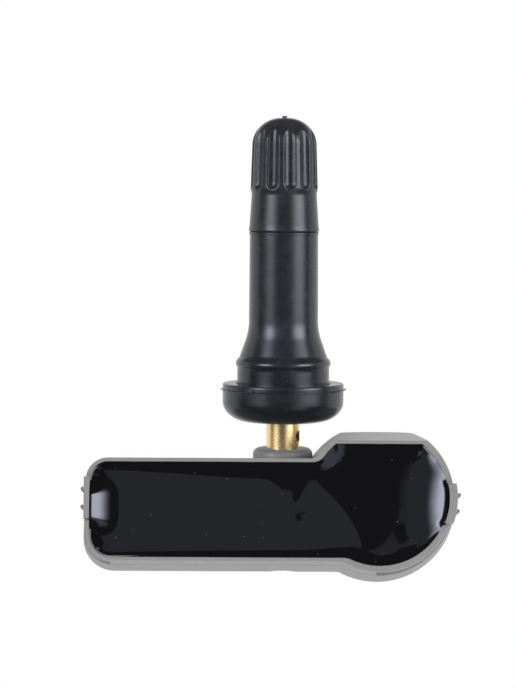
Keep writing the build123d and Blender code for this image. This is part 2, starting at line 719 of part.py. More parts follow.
def radio_antenna():
    """Stamped strip loop that stands on the back of the board."""
    start_u = BOARD_END_U + ANTENNA_FROM_END
    loop = block(start_u, start_u + ANTENNA_L, 0, ANTENNA_W, BOARD_BACK_N - ANTENNA_H, BOARD_BACK_N)
    far_edges = loop.edges().filter_by(Axis.Y).group_by(Axis.Z)[0]
    loop = fillet(far_edges, ANTENNA_ROUND)
    room = block(
        start_u + ANTENNA_T, start_u + ANTENNA_L - ANTENNA_T, 0, ANTENNA_W,
        BOARD_BACK_N - ANTENNA_H + ANTENNA_T, BOARD_BACK_N,
    )
    room_edges = room.edges().filter_by(Axis.Y).group_by(Axis.Z)[0]
    room = fillet(room_edges, ANTENNA_ROUND - ANTENNA_T)
    return Pos(0, ANTENNA_V - ANTENNA_W / 2, 0) * (loop - room)


def resin_hollow():
    """The hollow in the resin's face, as the resin sinks away from the rim that it clings to."""
    bed = cup_outline(-RIM_W - RESIN_EDGE_W, -ROUND_RIM_W - RESIN_EDGE_W)
    bed -= Pos(AWAY / 2 - DISH_FLAT_R, 0) * Rectangle(AWAY, AWAY)
    bed = Pos(0, 0, -BED_DROP) * extrude(bed, BED_DROP)
    bed_edges = bed.faces().sort_by(Axis.Z)[0].edges().sort_by(Axis.X)
    bed = fillet(bed_edges[:-1], BED_ROUND)
    dish_r = ROUND_R - ROUND_RIM_W - RESIN_EDGE_W
    floor_edge = (DISH_FLAT_R, -DISH_DROP)
    dish = make_face(
        TangentArc(floor_edge, (dish_r, -RESIN_DROP), tangent=(1, 0))
        + Polyline((dish_r, -RESIN_DROP), (dish_r, 0), (0, 0), (0, -DISH_DROP), floor_edge)
    )
    return bed + turned(dish)


def potting(embedded):
    """Resin that fills the cup to just below its rim, round everything inside."""
    walls = rod(COLLAR_R, COLLAR_Z - AWAY, COLLAR_Z)
    fill = cavity(-RESIN_DROP) - walls - CUP * resin_hollow()
    for piece in embedded:
        fill -= piece
    return fill


def build():
    """Every piece of the sensor in its place, by node name."""
    electronics = {
        "circuit_board": circuit_board(),
        "battery_cell": battery_cell(),
        "battery_tab_negative": battery_tab(NEGATIVE_TAB_V, CELL_FRONT_N),
        "battery_tab_positive": battery_tab(POSITIVE_TAB_V, CELL_BACK_N - TAB_T),
        "sensor_chip": sensor_chip(),
        "port_gasket": port_gasket(False),
        "lf_coil_core": lf_coil_core(),
        "lf_coil_winding": lf_coil_winding(),
        "timing_crystal": timing_crystal(),
        "board_capacitors": board_capacitors(),
        "radio_antenna": radio_antenna(),
    }
    placed = {name: CUP * piece for name, piece in electronics.items()}
    embedded = [piece for name, piece in placed.items() if name != "port_gasket"]
    embedded.append(CUP * port_gasket(True))
    return {
        "rubber_valve_body": rubber_valve_body(),
        "valve_stem": valve_stem(),
        "core_body": core_body(),
        "core_barrel_seal": core_barrel_seal(),
        "core_seat_seal": core_seat_seal(),
        "core_pin": core_pin(),
        "core_spring": core_spring(),
        "valve_cap": valve_cap(),
        "cap_seal": cap_seal(),
        "housing": housing(),
        "mounting_screw": mounting_screw(),
        "potting": potting(embedded),
        **placed,
    }


os.makedirs("parts", exist_ok=True)
for node, solid in build().items():
    export_step(solid, f"parts/{node}.step")
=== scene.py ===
"""Studio scene of a tyre pressure sensor on a snap-in rubber valve."""

import logging
from dataclasses import dataclass
from enum import Enum
from functools import cache
from math import asin, atan2, cos, hypot, pi, radians, sin, sqrt, tan
from typing import Any, Sequence

import bmesh
import bpy
import numpy as np
from mathutils import Matrix, Vector
from mathutils.geometry import delaunay_2d_cdt


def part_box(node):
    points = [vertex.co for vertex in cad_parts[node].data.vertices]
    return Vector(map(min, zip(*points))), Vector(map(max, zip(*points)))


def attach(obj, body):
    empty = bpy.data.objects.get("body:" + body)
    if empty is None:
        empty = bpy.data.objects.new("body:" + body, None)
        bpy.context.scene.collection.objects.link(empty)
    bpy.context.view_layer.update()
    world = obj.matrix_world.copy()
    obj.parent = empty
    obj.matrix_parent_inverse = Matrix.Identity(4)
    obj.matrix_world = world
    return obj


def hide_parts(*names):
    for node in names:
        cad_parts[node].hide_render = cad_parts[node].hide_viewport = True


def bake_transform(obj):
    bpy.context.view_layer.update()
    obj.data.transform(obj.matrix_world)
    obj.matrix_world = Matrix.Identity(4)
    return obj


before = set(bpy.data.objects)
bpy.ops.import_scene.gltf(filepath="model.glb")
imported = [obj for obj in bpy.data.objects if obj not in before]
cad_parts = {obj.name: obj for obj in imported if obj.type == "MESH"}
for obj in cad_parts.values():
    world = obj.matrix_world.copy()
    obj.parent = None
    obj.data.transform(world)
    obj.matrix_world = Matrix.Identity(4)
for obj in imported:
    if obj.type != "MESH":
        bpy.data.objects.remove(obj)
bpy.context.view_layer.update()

LOG = logging.getLogger("pressure_sensor")
MM = 0.001
WELD = 1e-7
SLIVER = 1e-8
SAME = 1e-6
TINY = 1e-12
RGB = tuple[float, float, float]
Point = tuple[float, float]


class Body(Enum):
    """The bodies that new pieces ride on."""

    SENSOR = "sensor"
    CORE_PLUNGER = "core_plunger"
    CAP = "cap"


class Signal:
    """A shader socket that does sums by adding Math nodes to its tree."""

    def __init__(self, tree: "ShaderTree", socket: bpy.types.NodeSocket) -> None:
        """Keep the socket and the tree that it belongs to."""
        self.tree = tree
        self.socket = socket

    def sibling(self, name: str) -> "Signal":
        """Another output of the same node."""
        return Signal(self.tree, self.socket.node.outputs[name])

    def sums(self, operation: str, first: "Signal | float", second: "Signal | float") -> "Signal":
        """Add one Math node.

        Args:
            operation: The Math node's operation.
            first: Its first value or link.
            second: Its second value or link.

        Returns:
            The node's output.
        """
        return self.tree.add("ShaderNodeMath", {"operation": operation}, {0: first, 1: second})

    def __add__(self, other: "Signal | float") -> "Signal":
        """This value plus another."""
        return self.sums("ADD", self, other)

    def __radd__(self, other: float) -> "Signal":
        """A number plus this value."""
        return self.sums("ADD", other, self)

    def __sub__(self, other: "Signal | float") -> "Signal":
        """This value less another."""
        return self.sums("SUBTRACT", self, other)

    def __rsub__(self, other: float) -> "Signal":
        """A number less this value."""
        return self.sums("SUBTRACT", other, self)

    def __mul__(self, other: "Signal | float") -> "Signal":
        """This value times another."""
        return self.sums("MULTIPLY", self, other)

    def __rmul__(self, other: float) -> "Signal":
        """A number times this value."""
        return self.sums("MULTIPLY", other, self)

    def __pow__(self, power: float) -> "Signal":
        """This value raised to a power."""
        return self.sums("POWER", self, power)

    def bearing(self, ahead: "Signal") -> "Signal":
        """The angle, in radians, of this sideways value from straight ahead."""
        return self.sums("ARCTAN2", self, ahead)

    def most(self, other: "Signal | float") -> "Signal":
        """The larger of this value and another."""
        return self.sums("MAXIMUM", self, other)

    def step(self, low: float, high: float) -> "Signal":
        """A soft step from 0 at low to 1 at high.

        Args:
            low: The value where the step starts.
            high: The value where it ends, which may be below low.

        Returns:
            The step, from 0 to 1.
        """
        if low > high:
            return 1.0 - self.step(high, low)
        sockets = {"Value": self, "From Min": low, "From Max": high}
        return self.tree.add("ShaderNodeMapRange", {"interpolation_type": "SMOOTHSTEP"}, sockets)


class ShaderTree:
    """A node tree that is filled through one method."""

    def __init__(self, tree: bpy.types.NodeTree) -> None:
        """Start from an empty tree."""
        self.tree = tree
        tree.nodes.clear()

    def add(
        self,
        kind: str,
        settings: dict[str, Any] | None = None,
        sockets: dict[str | int, Any] | None = None,
        output: str | int = 0,
    ) -> Signal:
        """Add a node, set it up and join its sockets.

        Args:
            kind: The node's type.
            settings: The node's own settings, which are set first.
            sockets: Values or links for its input sockets.
            output: The output socket to give back.

        Returns:
            The chosen output, or the node's last input where it has no output.
        """
        node = self.tree.nodes.new(kind)
        for name, value in (settings or {}).items():
            setattr(node, name, value)
        for name, value in (sockets or {}).items():
            if isinstance(value, Signal):
                self.tree.links.new(value.socket, node.inputs[name])
            else:
                node.inputs[name].default_value = value
        return Signal(self, node.outputs[output] if len(node.outputs) else node.inputs[0])

    def place(self) -> Signal:
        """The point on the object at rest, in millimetres."""
        metres = self.add("ShaderNodeTexCoord", output="Object")
        return self.add("ShaderNodeVectorMath", {"operation": "SCALE"}, {0: metres, "Scale": 1.0 / MM})

    def stretched(self, place: Signal, x: float, y: float, z: float) -> Signal:
        """A place with each axis scaled by its own number.

        Args:
            place: The place.
            x: Scale along x.
            y: Scale along y.
            z: Scale along z.

        Returns:
            The scaled place.
        """
        return self.add("ShaderNodeVectorMath", {"operation": "MULTIPLY"}, {0: place, 1: (x, y, z)})

    def noise(self, place: Signal, scale: float, detail: float = 2.0, rough: float = 0.5) -> Signal:
        """Cloudy noise.

        Args:
            place: Where it is read.
            scale: Lumps per millimetre.
            detail: Octaves of finer noise.
            rough: Share of each finer octave.

        Returns:
            Noise around 0.5.
        """
        sockets = {"Vector": place, "Scale": scale, "Detail": detail, "Roughness": rough}
        return self.add("ShaderNodeTexNoise", {"noise_dimensions": "3D"}, sockets, "Fac")

    def from_front(self, place: Signal) -> Signal:
        """A place as seen from the front, with its height second."""
        x = self.add("ShaderNodeSeparateXYZ", None, {0: place}, "X")
        return self.add("ShaderNodeCombineXYZ", None, {0: x, 1: x.sibling("Z")})

    def specks(self, place: Signal, pitch: float, radius: float, share: float, room: str = "3D") -> Signal:
        """Small separate specks.

        Args:
            place: Where they are read.
            pitch: Distance between possible specks, in millimetres.
            radius: A speck's radius, in millimetres.
            share: Share of the possible specks that are there.
            room: Whether they lie in space or on the plane of the first two axes.

        Returns:
            1 inside a speck and 0 outside.
        """
        sockets = {"Vector": place, "Scale": 1.0 / pitch}
        distance = self.add("ShaderNodeTexVoronoi", {"voronoi_dimensions": room}, sockets, "Distance")
        chance = self.add("ShaderNodeSeparateColor", None, {"Color": distance.sibling("Color")}, "Red")
        near = distance.step(radius / pitch, 0.5 * radius / pitch)
        return near * chance.step(1.0 - share, 1.0 - 0.95 * share)

    def blend(self, factor: Signal, first: Signal | RGB, second: Signal | RGB) -> Signal:
        """Mix two colours.

        Args:
            factor: 0 for the first and 1 for the second.
            first: The first colour.
            second: The second colour.

        Returns:
            The mixed colour.
        """
        pair = [c if isinstance(c, Signal) else (*c, 1.0) for c in (first, second)]
        settings = {"data_type": "RGBA", "clamp_factor": True}
        return self.add("ShaderNodeMix", settings, {0: factor, 6: pair[0], 7: pair[1]}, 2)

    def bump(self, height: Signal, depth: float, normal: Signal | None = None) -> Signal:
        """Surface relief.

        Args:
            height: Height from 0 to 1.
            depth: What a height of 1 stands for, in millimetres.
            normal: The normal that the relief starts from.

        Returns:
            The bumped normal.
        """
        sockets = {"Height": height, "Distance": depth * MM, "Strength": 1.0}
        if normal is not None:
            sockets["Normal"] = normal
        return self.add("ShaderNodeBump", None, sockets)

    def soft_edges(self, radius: float) -> Signal:
        """Normals rounded over sharp edges of a radius in millimetres."""
        return self.add("ShaderNodeBevel", {"samples": 8}, {"Radius": radius * MM})


@dataclass(frozen=True)
class Finish:
    """A surface finish that makes its own material once."""

    name: str

    @cache
    def material(self) -> bpy.types.Material:
        """Make the material of this finish when it is first asked for.

        Returns:
            The material.
        """
        made = bpy.data.materials.new(self.name)
        made.use_nodes = True
        tree = ShaderTree(made.node_tree)
        shader = tree.add("ShaderNodeBsdfPrincipled", None, self.paint(tree))
        tree.add("ShaderNodeOutputMaterial", None, {"Surface": shader})
        return made

    def paint(self, tree: ShaderTree) -> dict[str, Any]:
        """The surface shader's sockets.

        Args:
            tree: The material's node tree.

        Returns:
            Values and links by socket name.
        """
        raise NotImplementedError

    def dress(self, *pieces: bpy.types.Object) -> None:
        """Give pieces this finish as their only material.

        Args:
            pieces: The pieces.
        """
        for piece in pieces:
            piece.data.materials.clear()
            piece.data.materials.append(self.material())


@dataclass(frozen=True)
class MouldedPlastic(Finish):
    """Filled grey plastic with the fine grain of a spark-eroded mould."""

    colour: RGB = (0.3, 0.3, 0.3)
    contrast: float = 0.2
    roughness: float = 0.5
    grain_depth: float = 0.004
    edge: float = 0.1

    def paint(self, tree: ShaderTree) -> dict[str, Any]:
        """Grain, flow marks and worn edges of the moulded housing.

        Args:
            tree: The material's node tree.

        Returns:
            Values and links by socket name.
        """
        place = tree.place()
        grain = tree.noise(place, 9.0, 2.0, 0.6)
        cloud = tree.noise(place, 0.35, 3.0, 0.55)
        shade = (grain - 0.5) * 0.22 + (cloud - 0.5) * 0.24 + 0.5
        dark, light = (tuple(c * (1.0 + way * self.contrast) for c in self.colour) for way in (-1, 1))
        return {
            "Base Color": tree.blend(shade, dark, light),
            "Roughness": (cloud - 0.5) * 0.25 + self.roughness,
            "Normal": tree.bump(grain, self.grain_depth, tree.soft_edges(self.edge)),
            "IOR": 1.5,
        }


@dataclass(frozen=True)
class ValveRubber(Finish):
    """Charcoal moulded rubber with a dusty bloom in patches, and painted shade that darkens it towards its
    lower end.
    """

    colour: RGB = (0.006, 0.007, 0.009)
    bloom: RGB = (0.027, 0.031, 0.038)
    dust: RGB = (0.25, 0.25, 0.25)
    sheen: RGB = (0.84, 0.89, 1.0)
    roughness: float = 0.25
    grain_depth: float = 0.0012
    # Heights between which painted shade darkens the rubber downwards: full below the first, gone above the
    # second.
    painted_shade_full_below: float = -5.0
    painted_shade_gone_above: float = -0.8

    def paint(self, tree: ShaderTree) -> dict[str, Any]:
        """Bloom in patches, fine grain, specks of dust and drawn scuffs, with painted shade that takes the
        bloom away towards the bottom.

        Args:
            tree: The material's node tree.

        Returns:
            Values and links by socket name.
        """
        place = tree.place()
        grain = tree.noise(place, 7.0, 3.0, 0.6)
        cloud = tree.noise(place, 0.45, 3.0, 0.6)
        scuff = tree.noise(tree.stretched(place, 2.6, 2.6, 0.5), 1.0, 2.0, 0.5)
        scuffs = scuff.step(0.7, 0.76) * cloud.step(0.54, 0.64)
        dust = tree.specks(place, 2.3, 0.1, 0.12)
        height = tree.add("ShaderNodeSeparateXYZ", None, {0: place}, "Z")
        # Painted shade: the bloom fades out downwards, so the underside of the flange and dome is darker.
        bloom_and_painted_shade = height.step(self.painted_shade_full_below, self.painted_shade_gone_above) * (cloud.step(0.35, 0.75) * 0.5 + 0.5)
        base = tree.blend(bloom_and_painted_shade + scuffs * 0.25, self.colour, self.bloom)
        return {
            "Base Color": tree.blend(dust * 0.7, base, self.dust),
            "Roughness": (grain - 0.5) * 0.12 + (cloud - 0.5) * 0.12 + self.roughness,
            "Normal": tree.bump(grain, self.grain_depth),
            "IOR": 1.5,
            "Specular Tint": (*self.sheen, 1.0),
        }


@dataclass(frozen=True)
class CapPlastic(Finish):
    """Black moulded plastic of the cap."""

    colour: RGB = (0.02, 0.021, 0.024)
    dust: RGB = (0.2, 0.2, 0.2)
    sheen: RGB = (0.86, 0.9, 1.0)
    roughness: float = 0.28
    grain_depth: float = 0.001
    flute_r: float = 4.95
    flute_fade: float = 0.1
    pebble_depth: float = 0.012

    def paint(self, tree: ShaderTree) -> dict[str, Any]:
        """Light satin grain with a few dust specks, and a pebbled skin in the flutes.

        Args:
            tree: The material's node tree.

        Returns:
            Values and links by socket name.
        """
        place = tree.place()
        grain = tree.noise(place, 8.0, 2.0, 0.55)
        cloud = tree.noise(place, 0.5, 2.0, 0.5)
        dust = tree.specks(place, 2.1, 0.09, 0.12)
        light = tuple(2.0 * c for c in self.colour)
        base = tree.blend(cloud.step(0.3, 0.8) * 0.5, self.colour, light)
        across = tree.stretched(place, 1.0, 1.0, 0.0)
        out = tree.add("ShaderNodeVectorMath", {"operation": "LENGTH"}, {0: across}, "Value")
        lumps = tree.noise(tree.stretched(place, 1.0, 1.0, 0.7), 4.5, 1.0, 0.5)
        pebbles = lumps * out.step(self.flute_r + self.flute_fade, self.flute_r)
        return {
            "Base Color": tree.blend(dust * 0.6, base, self.dust),
            "Roughness": (grain - 0.5) * 0.14 + (cloud - 0.5) * 0.14 + self.roughness,
            "Normal": tree.bump(pebbles, self.pebble_depth, tree.bump(grain, self.grain_depth)),
            "IOR": 1.46,
            "Specular Tint": (*self.sheen, 1.0),
        }


@dataclass(frozen=True)
class PottingResin(Finish):
    """Glossy black casting resin with a little dust on it."""

    colour: RGB = (0.0035, 0.0035, 0.004)
    dust: RGB = (0.2, 0.2, 0.2)
    sheen: RGB = (0.8, 0.83, 1.0)
    roughness: float = 0.03
    flow_depth: float = 0.003

    def paint(self, tree: ShaderTree) -> dict[str, Any]:
        """Near mirror gloss, broken by dust and faint flow lines.

        Args:
            tree: The material's node tree.

        Returns:
            Values and links by socket name.
        """
        place = tree.place()
        cloud = tree.noise(place, 0.3, 3.0, 0.55)
        face = tree.from_front(place)
        small, large = tree.specks(face, 2.9, 0.09, 0.14, "2D"), tree.specks(face, 6.3, 0.13, 0.2, "2D")
        dust = small.most(large)
        return {
            "Base Color": tree.blend(dust * 0.6, self.colour, self.dust),
            "Roughness": (cloud - 0.5) * 0.02 + dust * 0.3 + self.roughness,
            "Normal": tree.bump(cloud, self.flow_depth),
            "IOR": 1.57,
            "Specular Tint": (*self.sheen, 1.0),
        }


@dataclass(frozen=True)
class TurnedMetal(Finish):
    """Lathe-turned metal with fine rings about the valve axis."""

    colour: RGB = (0.95, 0.73, 0.39)
    stain: RGB = (0.84, 0.56, 0.21)
    roughness: float = 0.27
    ring_depth: float = 0.0015
    pit_share: float = 5.0

    def paint(self, tree: ShaderTree) -> dict[str, Any]:
        """Turning rings, drawn streaks, fine pits and a light stain.

        Args:
            tree: The material's node tree.

        Returns:
            Values and links by socket name.
        """
        place = tree.place()
        pits = tree.noise(place, 2.6, 2.0, 0.6)
        rings = tree.noise(tree.stretched(place, 0.15, 0.15, 9.0), 1.0, 3.0, 0.6)
        streak = tree.noise(tree.stretched(place, 1.4, 1.4, 0.12), 1.0, 2.0, 0.5)
        cloud = tree.noise(place, 0.8, 3.0, 0.6)
        stain = cloud.step(0.45, 0.8) * 0.6 + streak.step(0.5, 0.75) * 0.35
        return {
            "Base Color": tree.blend(stain, self.colour, self.stain),
            "Metallic": 0.86,
            "Roughness": (cloud - 0.5) * 0.12 + (rings - 0.5) * 0.1 + self.roughness,
            "Normal": tree.bump(rings + pits * self.pit_share, self.ring_depth),
        }


@dataclass(frozen=True)
class PlainMetal(Finish):
    """Rolled or drawn metal with handling marks."""

    colour: RGB = (0.62, 0.62, 0.63)
    roughness: float = 0.32
    line_depth: float = 0.004

    def paint(self, tree: ShaderTree) -> dict[str, Any]:
        """Cloudy gloss and fine drawn lines.

        Args:
            tree: The material's node tree.

        Returns:
            Values and links by socket name.
        """
        place = tree.place()
        drawn = tree.noise(tree.stretched(place, 0.4, 6.0, 6.0), 1.0, 3.0, 0.6)
        cloud = tree.noise(place, 0.7, 3.0, 0.6)
        dark = tuple(0.75 * c for c in self.colour)
        return {
            "Base Color": tree.blend(cloud.step(0.35, 0.75), self.colour, dark),
            "Metallic": 1.0,
            "Roughness": (cloud - 0.5) * 0.3 + (drawn - 0.5) * 0.15 + self.roughness,
            "Normal": tree.bump(drawn, self.line_depth),
        }


@dataclass(frozen=True)
class SealRubber(Finish):
    """Soft black sealing rubber."""

    colour: RGB = (0.012, 0.012, 0.012)
    roughness: float = 0.6
    grain_depth: float = 0.015

    def paint(self, tree: ShaderTree) -> dict[str, Any]:
        """Dull, faintly mottled rubber.

        Args:
            tree: The material's node tree.

        Returns:
            Values and links by socket name.
        """
        place = tree.place()
        grain = tree.noise(place, 5.0, 3.0, 0.6)
        light = tuple(2.2 * c for c in self.colour)
        return {
            "Base Color": tree.blend(grain.step(0.3, 0.8), self.colour, light),
            "Roughness": (grain - 0.5) * 0.3 + self.roughness,
            "Normal": tree.bump(grain, self.grain_depth),
        }


@dataclass(frozen=True)
class BoardLaminate(Finish):
    """Green lacquered glass-fibre board with its weave just showing."""

    colour: RGB = (0.02, 0.11, 0.045)
    roughness: float = 0.35
    weave_scale: float = 0.8
    weave_depth: float = 0.01

    def paint(self, tree: ShaderTree) -> dict[str, Any]:
        """Lacquer over a fine crossed weave.

        Args:
            tree: The material's node tree.

        Returns:
            Values and links by socket name.
        """
        place = tree.place()
        sockets = {"Vector": place, "Scale": self.weave_scale}
        warp = tree.add("ShaderNodeTexWave", {"bands_direction": "X"}, sockets, "Fac")
        weft = tree.add("ShaderNodeTexWave", {"bands_direction": "Z"}, sockets, "Fac")
        weave = warp * weft
        light = tuple(1.6 * c for c in self.colour)
        return {
            "Base Color": tree.blend(weave, self.colour, light),
            "Roughness": (weave - 0.5) * 0.1 + self.roughness,
            "Normal": tree.bump(weave, self.weave_depth),
        }


@dataclass(frozen=True)
class MouldedBlock(Finish):
    """Small moulded or fired component body."""

    colour: RGB = (0.02, 0.02, 0.02)
    roughness: float = 0.55
    grain_depth: float = 0.01
    edge: float = 0.06

    def paint(self, tree: ShaderTree) -> dict[str, Any]:
        """Fine grain on a matt body.

        Args:
            tree: The material's node tree.

        Returns:
            Values and links by socket name.
        """
        place = tree.place()
        grain = tree.noise(place, 10.0, 2.0, 0.6)
        light = tuple(min(1.5 * c, 1.0) for c in self.colour)
        return {
            "Base Color": tree.blend(grain.step(0.3, 0.7), self.colour, light),
            "Roughness": (grain - 0.5) * 0.2 + self.roughness,
            "Normal": tree.bump(grain, self.grain_depth, tree.soft_edges(self.edge)),
        }


@dataclass(frozen=True)
class WoundWire(Finish):
    """Enamelled copper wire wound in close turns along x."""

    colour: RGB = (0.55, 0.20, 0.07)
    roughness: float = 0.35
    turns: float = 2.2
    ridge_depth: float = 0.08

    def paint(self, tree: ShaderTree) -> dict[str, Any]:
        """Turn by turn ridges under a clear enamel, with painted shade in the grooves between the turns.

        Args:
            tree: The material's node tree.

        Returns:
            Values and links by socket name.
        """
        place = tree.place()
        sockets = {"Vector": place, "Scale": self.turns}
        ridge = tree.add("ShaderNodeTexWave", {"bands_direction": "X"}, sockets, "Fac")
        # Painted shade: the grooves between the turns are darker than the ridges.
        dark = tuple(0.35 * c for c in self.colour)
        return {
            "Base Color": tree.blend(ridge, dark, self.colour),
            "Metallic": 0.8,
            "Roughness": self.roughness - ridge * 0.1,
            "Normal": tree.bump(ridge, self.ridge_depth),
        }


HOUSING_PLASTIC = MouldedPlastic("grained_grey_plastic")
VALVE_RUBBER = ValveRubber("charcoal_rubber")
CAP_PLASTIC = CapPlastic("satin_black_plastic")
POTTING_RESIN = PottingResin("cast_black_resin")
STEM_BRASS = TurnedMetal("turned_brass")
CORE_BRASS = TurnedMetal("turned_core_brass", roughness=0.3)
CORE_STEEL = PlainMetal("drawn_steel")
SCREW_STEEL = TurnedMetal("turned_steel", (0.60, 0.60, 0.60), (0.42, 0.41, 0.40), 0.3)
CELL_STEEL = PlainMetal("nickelled_steel", (0.66, 0.66, 0.66), 0.25)
SEAL_RUBBER = SealRubber("soft_black_rubber")
BOARD_LAMINATE = BoardLaminate("green_laminate")
CHIP_PLASTIC = MouldedBlock("moulded_black_block")
COIL_FERRITE = MouldedBlock("sintered_ferrite", (0.045, 0.043, 0.042), 0.6)
CAPACITOR_CERAMIC = MouldedBlock("fired_tan_ceramic", (0.36, 0.22, 0.12), 0.45)
COIL_COPPER = WoundWire("wound_copper")


def make_mesh(
    name: str, points: np.ndarray, faces: Sequence[Sequence[int]], crease: float
) -> bpy.types.Object:
    """Make a smooth-shaded mesh piece.

    Args:
        name: The piece's name.
        points: Vertices in millimetres.
        faces: Vertex numbers of each face.
        crease: Edges sharper than this many degrees stay sharp.

    Returns:
        The new object, in the scene.
    """
    mesh = bpy.data.meshes.new(name)
    mesh.from_pydata((points * MM).tolist(), [], faces)
    work = bmesh.new()
    work.from_mesh(mesh)
    bmesh.ops.remove_doubles(work, verts=work.verts, dist=WELD)
    bmesh.ops.dissolve_degenerate(work, edges=work.edges, dist=SLIVER)
    bmesh.ops.recalc_face_normals(work, faces=work.faces)
    work.to_mesh(mesh)
    work.free()
    mesh.shade_smooth()
    mesh.set_sharp_from_angle(angle=radians(crease))
    piece = bpy.data.objects.new(name, mesh)
    bpy.context.scene.collection.objects.link(piece)
    return piece


def place_piece(piece: bpy.types.Object, finish: Finish, body: Body, slot: str, *nodes: str) -> None:
    """Dress a new piece and put it in the place of its CAD nodes.

    Args:
        piece: The piece.
        finish: What it is made of.
        body: The body it rides on.
        slot: The record's material slot; not used.
        nodes: The CAD nodes that it stands for.
    """
    finish.dress(piece)
    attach(piece, body.value)
    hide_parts(*nodes)
    LOG.info("%s rides on %s", piece.name, body.value)


def stretch_piece(
    piece: bpy.types.Object, finish: Finish, bodies: tuple[Body, Body], ends: Point, slot: str, *nodes: str
) -> None:
    """Dress a piece that is squeezed between two bodies and put it in the place of its CAD nodes.

    Args:
        piece: The piece.
        finish: What it is made of.
        bodies: The bodies at its lower and its upper end, which are only named in the log.
        ends: The heights of those ends, in millimetres; not used.
        slot: The record's material slot; not used.
        nodes: The CAD nodes that it stands for.
    """
    finish.dress(piece)
    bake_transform(piece)
    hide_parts(*nodes)
    LOG.info("%s is held between %s and %s", piece.name, bodies[0].value, bodies[1].value)


def dress_nodes(finish: Finish, *names: str) -> None:
    """Give CAD nodes a finish.

    Args:
        finish: The finish.
        names: The nodes.
    """
    finish.dress(*(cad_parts[name] for name in names))
    LOG.info("%s on %s", finish.name, ", ".join(names))


def arc(centre: Point, radius: Point, start: float, stop: float, count: int) -> list[Point]:
    """Points along an ellipse's arc, both ends included.

    Args:
        centre: Its centre.
        radius: Its two half axes.
        start: First angle in degrees.
        stop: Last angle in degrees.
        count: How many points.

    Returns:
        The points.
    """
    angles = np.radians(np.linspace(start, stop, count))
    return [(centre[0] + radius[0] * cos(a), centre[1] + radius[1] * sin(a)) for a in angles]


def divided(points: Sequence[Point], longest: float) -> np.ndarray:
    """A path with its long runs divided.

    Args:
        points: The path.
        longest: The longest run that stays whole.

    Returns:
        The path's points, one row each.
    """
    made = [points[0]]
    for first, second in zip(points, points[1:]):
        count = max(1, int(np.ceil(hypot(second[0] - first[0], second[1] - first[1]) / longest)))
        for index in range(1, count + 1):
            share = index / count
            made.append(tuple(a + (b - a) * share for a, b in zip(first, second)))
    return np.array(made)


def turned_faces(rows: int, around: int, closed: bool) -> list[tuple[int, int, int, int]]:
    """Faces of a grid of rings.

    Args:
        rows: How many rings.
        around: Points on each ring.
        closed: Whether the last ring joins the first.

    Returns:
        The vertex numbers of each face.
    """
    faces = []
    for row in range(rows if closed else rows - 1):
        low, high = row * around, (row + 1) % rows * around
        for step in range(around):
            after = (step + 1) % around
            faces.append((low + step, low + after, high + after, high + step))
    return faces


def ring_points(radius: np.ndarray, height: np.ndarray) -> np.ndarray:
    """Points of rings about the valve axis.

    Args:
        radius: Radius of each point, by ring and step round it.
        height: Height of each point.

    Returns:
        The points in one list.
    """
    turn = np.linspace(0.0, 2.0 * pi, radius.shape[1], endpoint=False)[None, :]
    grid = np.stack([radius * np.cos(turn), radius * np.sin(turn), height], axis=-1)
    return grid.reshape(-1, 3)


def spun(path: np.ndarray, around: int) -> tuple[np.ndarray, np.ndarray]:
    """Radius and height of a turned section's points, by ring and step round it."""
    return np.repeat(path[:, :1], around, axis=1), np.repeat(path[:, 1:], around, axis=1)


def turned_mesh(
    name: str, radius: np.ndarray, height: np.ndarray, closed: bool, crease: float
) -> bpy.types.Object:
    """Make a piece of rings about the valve axis.

    Args:
        name: The piece's name.
        radius: Radius of each point, by ring and step round it.
        height: Height of each point.
        closed: Whether the last ring joins the first.
        crease: Edges sharper than this many degrees stay sharp.

    Returns:
        The new object, in the scene.
    """
    return make_mesh(name, ring_points(radius, height), turned_faces(*radius.shape, closed), crease)


def soft_lower(first: np.ndarray, second: np.ndarray, blend: float) -> np.ndarray:
    """The lower of two surfaces, with a blend where they cross."""
    share = np.clip(0.5 + 0.5 * (second - first) / blend, 0.0, 1.0)
    return second + (first - second) * share - blend * share * (1.0 - share)


